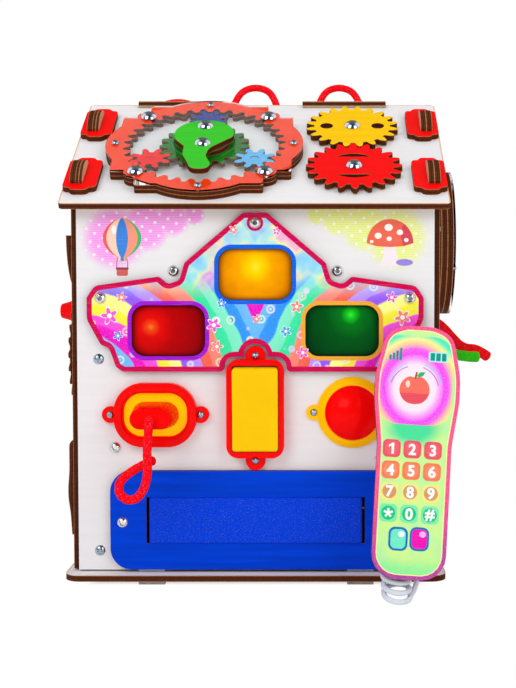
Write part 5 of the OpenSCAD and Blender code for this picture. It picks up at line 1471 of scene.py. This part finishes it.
class WeaveTape(bpy.types.Operator):
    """Hook-and-loop tape across the blue panel, through both slots"""

    bl_idname = "busyhouse.weave_tape"
    bl_label = "Tape"

    def execute(self, context):
        values = context.scene.house_cords
        low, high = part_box("hook_strip")
        middle = (low.z + high.z) / 2 / MM
        half = (high.z - low.z) / 2 / MM
        thick, slot_x, tail, bend, cut = 1.6, 69.2, 13.0, 0.8, 0.25
        nap_rise, sunk, selvedge = 0.16, 0.18, 0.25
        out, back = FRONT_Y - SHEET - thick / 2, FRONT_Y + SHEET + thick / 2
        line = [(-slot_x + tail, back), (-slot_x + bend, back), (-slot_x + cut, back - cut), (-slot_x, back - bend)]
        line += [(-slot_x, out + bend), (-slot_x + cut, out + cut), (-slot_x + bend, out)]
        line += [(-x, y) for x, y in reversed(line)]
        path = even_path([Vector((x, y, middle)) for x, y in line], 0.75)
        bm = bmesh.new()
        rows = 42
        rings = []
        last = len(path) - 1
        for i, p in enumerate(path):
            t = (path[min(i + 1, last)] - path[max(i - 1, 0)]).normalized()
            out_way = Vector((t.y, -t.x, 0))
            ring = []
            for k in range(rows + 1):
                z = -half + 2 * half * k / rows
                edge = min(k, rows - k)
                nap = 0.0 if edge < 2 else nap_rise * (math.sin(i * 2.2 + k * 1.7) * math.sin(k * 2.4 - i * 0.6))
                lift = thick / 2 - sunk + nap - (selvedge if edge == 0 else 0)
                ring.append(bm.verts.new((p + UP * z + out_way * lift) * MM))
            for k in range(rows, -1, -rows // 3):
                z = -half + 2 * half * k / rows
                ring.append(bm.verts.new((p + UP * z - out_way * (thick / 2 - 0.02)) * MM))
            rings.append(ring)
        for a, b in zip(rings, rings[1:]):
            n = len(a)
            for k in range(n):
                bm.faces.new((a[k], a[(k + 1) % n], b[(k + 1) % n], b[k]))
        bm.faces.new(rings[0][::-1])
        bm.faces.new(rings[-1])
        weave = woven("tape_weave", values.tape_blue, 1.3, 0.75)
        tape = finish_piece("tape_band", bm, [weave], HOUSE, "tape_blue", ["hook_strip"], 60)
        path_length(path) * MM
        return {"FINISHED"}


class BusyHousePanel(bpy.types.Panel):
    """Steps that dress the house, in their order"""

    bl_idname = "VIEW3D_PT_busy_house"
    bl_label = "Busy house"
    bl_space_type = "VIEW_3D"
    bl_region_type = "UI"
    bl_category = "Busy house"

    def draw(self, context):
        for step in STEPS:
            self.layout.operator(step.bl_idname)
        for group in ("house_paints", "house_prints", "house_cords", "house_stage"):
            values = getattr(context.scene, group)
            for key in values.bl_rna.properties.keys():
                if key not in ("rna_type", "name"):
                    self.layout.prop(values, key)


GROUPS = {
    "house_paints": HousePaints,
    "house_prints": HousePrints,
    "house_cords": HouseCords,
    "house_stage": HouseStage,
}
STEPS = (
    MakeStage, MakeCords, PaintPlywood, FinishHardware, FinishSwitches, LightLenses, FitCovers,
    PrintPlaque, PrintWall, PrintPhone, WeaveTape,
)


def register():
    for group in (*GROUPS.values(), *STEPS, BusyHousePanel):
        bpy.utils.register_class(group)
    for name, group in GROUPS.items():
        setattr(bpy.types.Scene, name, bpy.props.PointerProperty(type=group))


def unregister():
    for name in GROUPS:
        delattr(bpy.types.Scene, name)
    for group in reversed((*GROUPS.values(), *STEPS, BusyHousePanel)):
        bpy.utils.unregister_class(group)


def main():
    register()
    for step in STEPS:
        space, name = step.bl_idname.split(".")
        getattr(getattr(bpy.ops, space), name)()


if __name__ == "__main__":
    main()
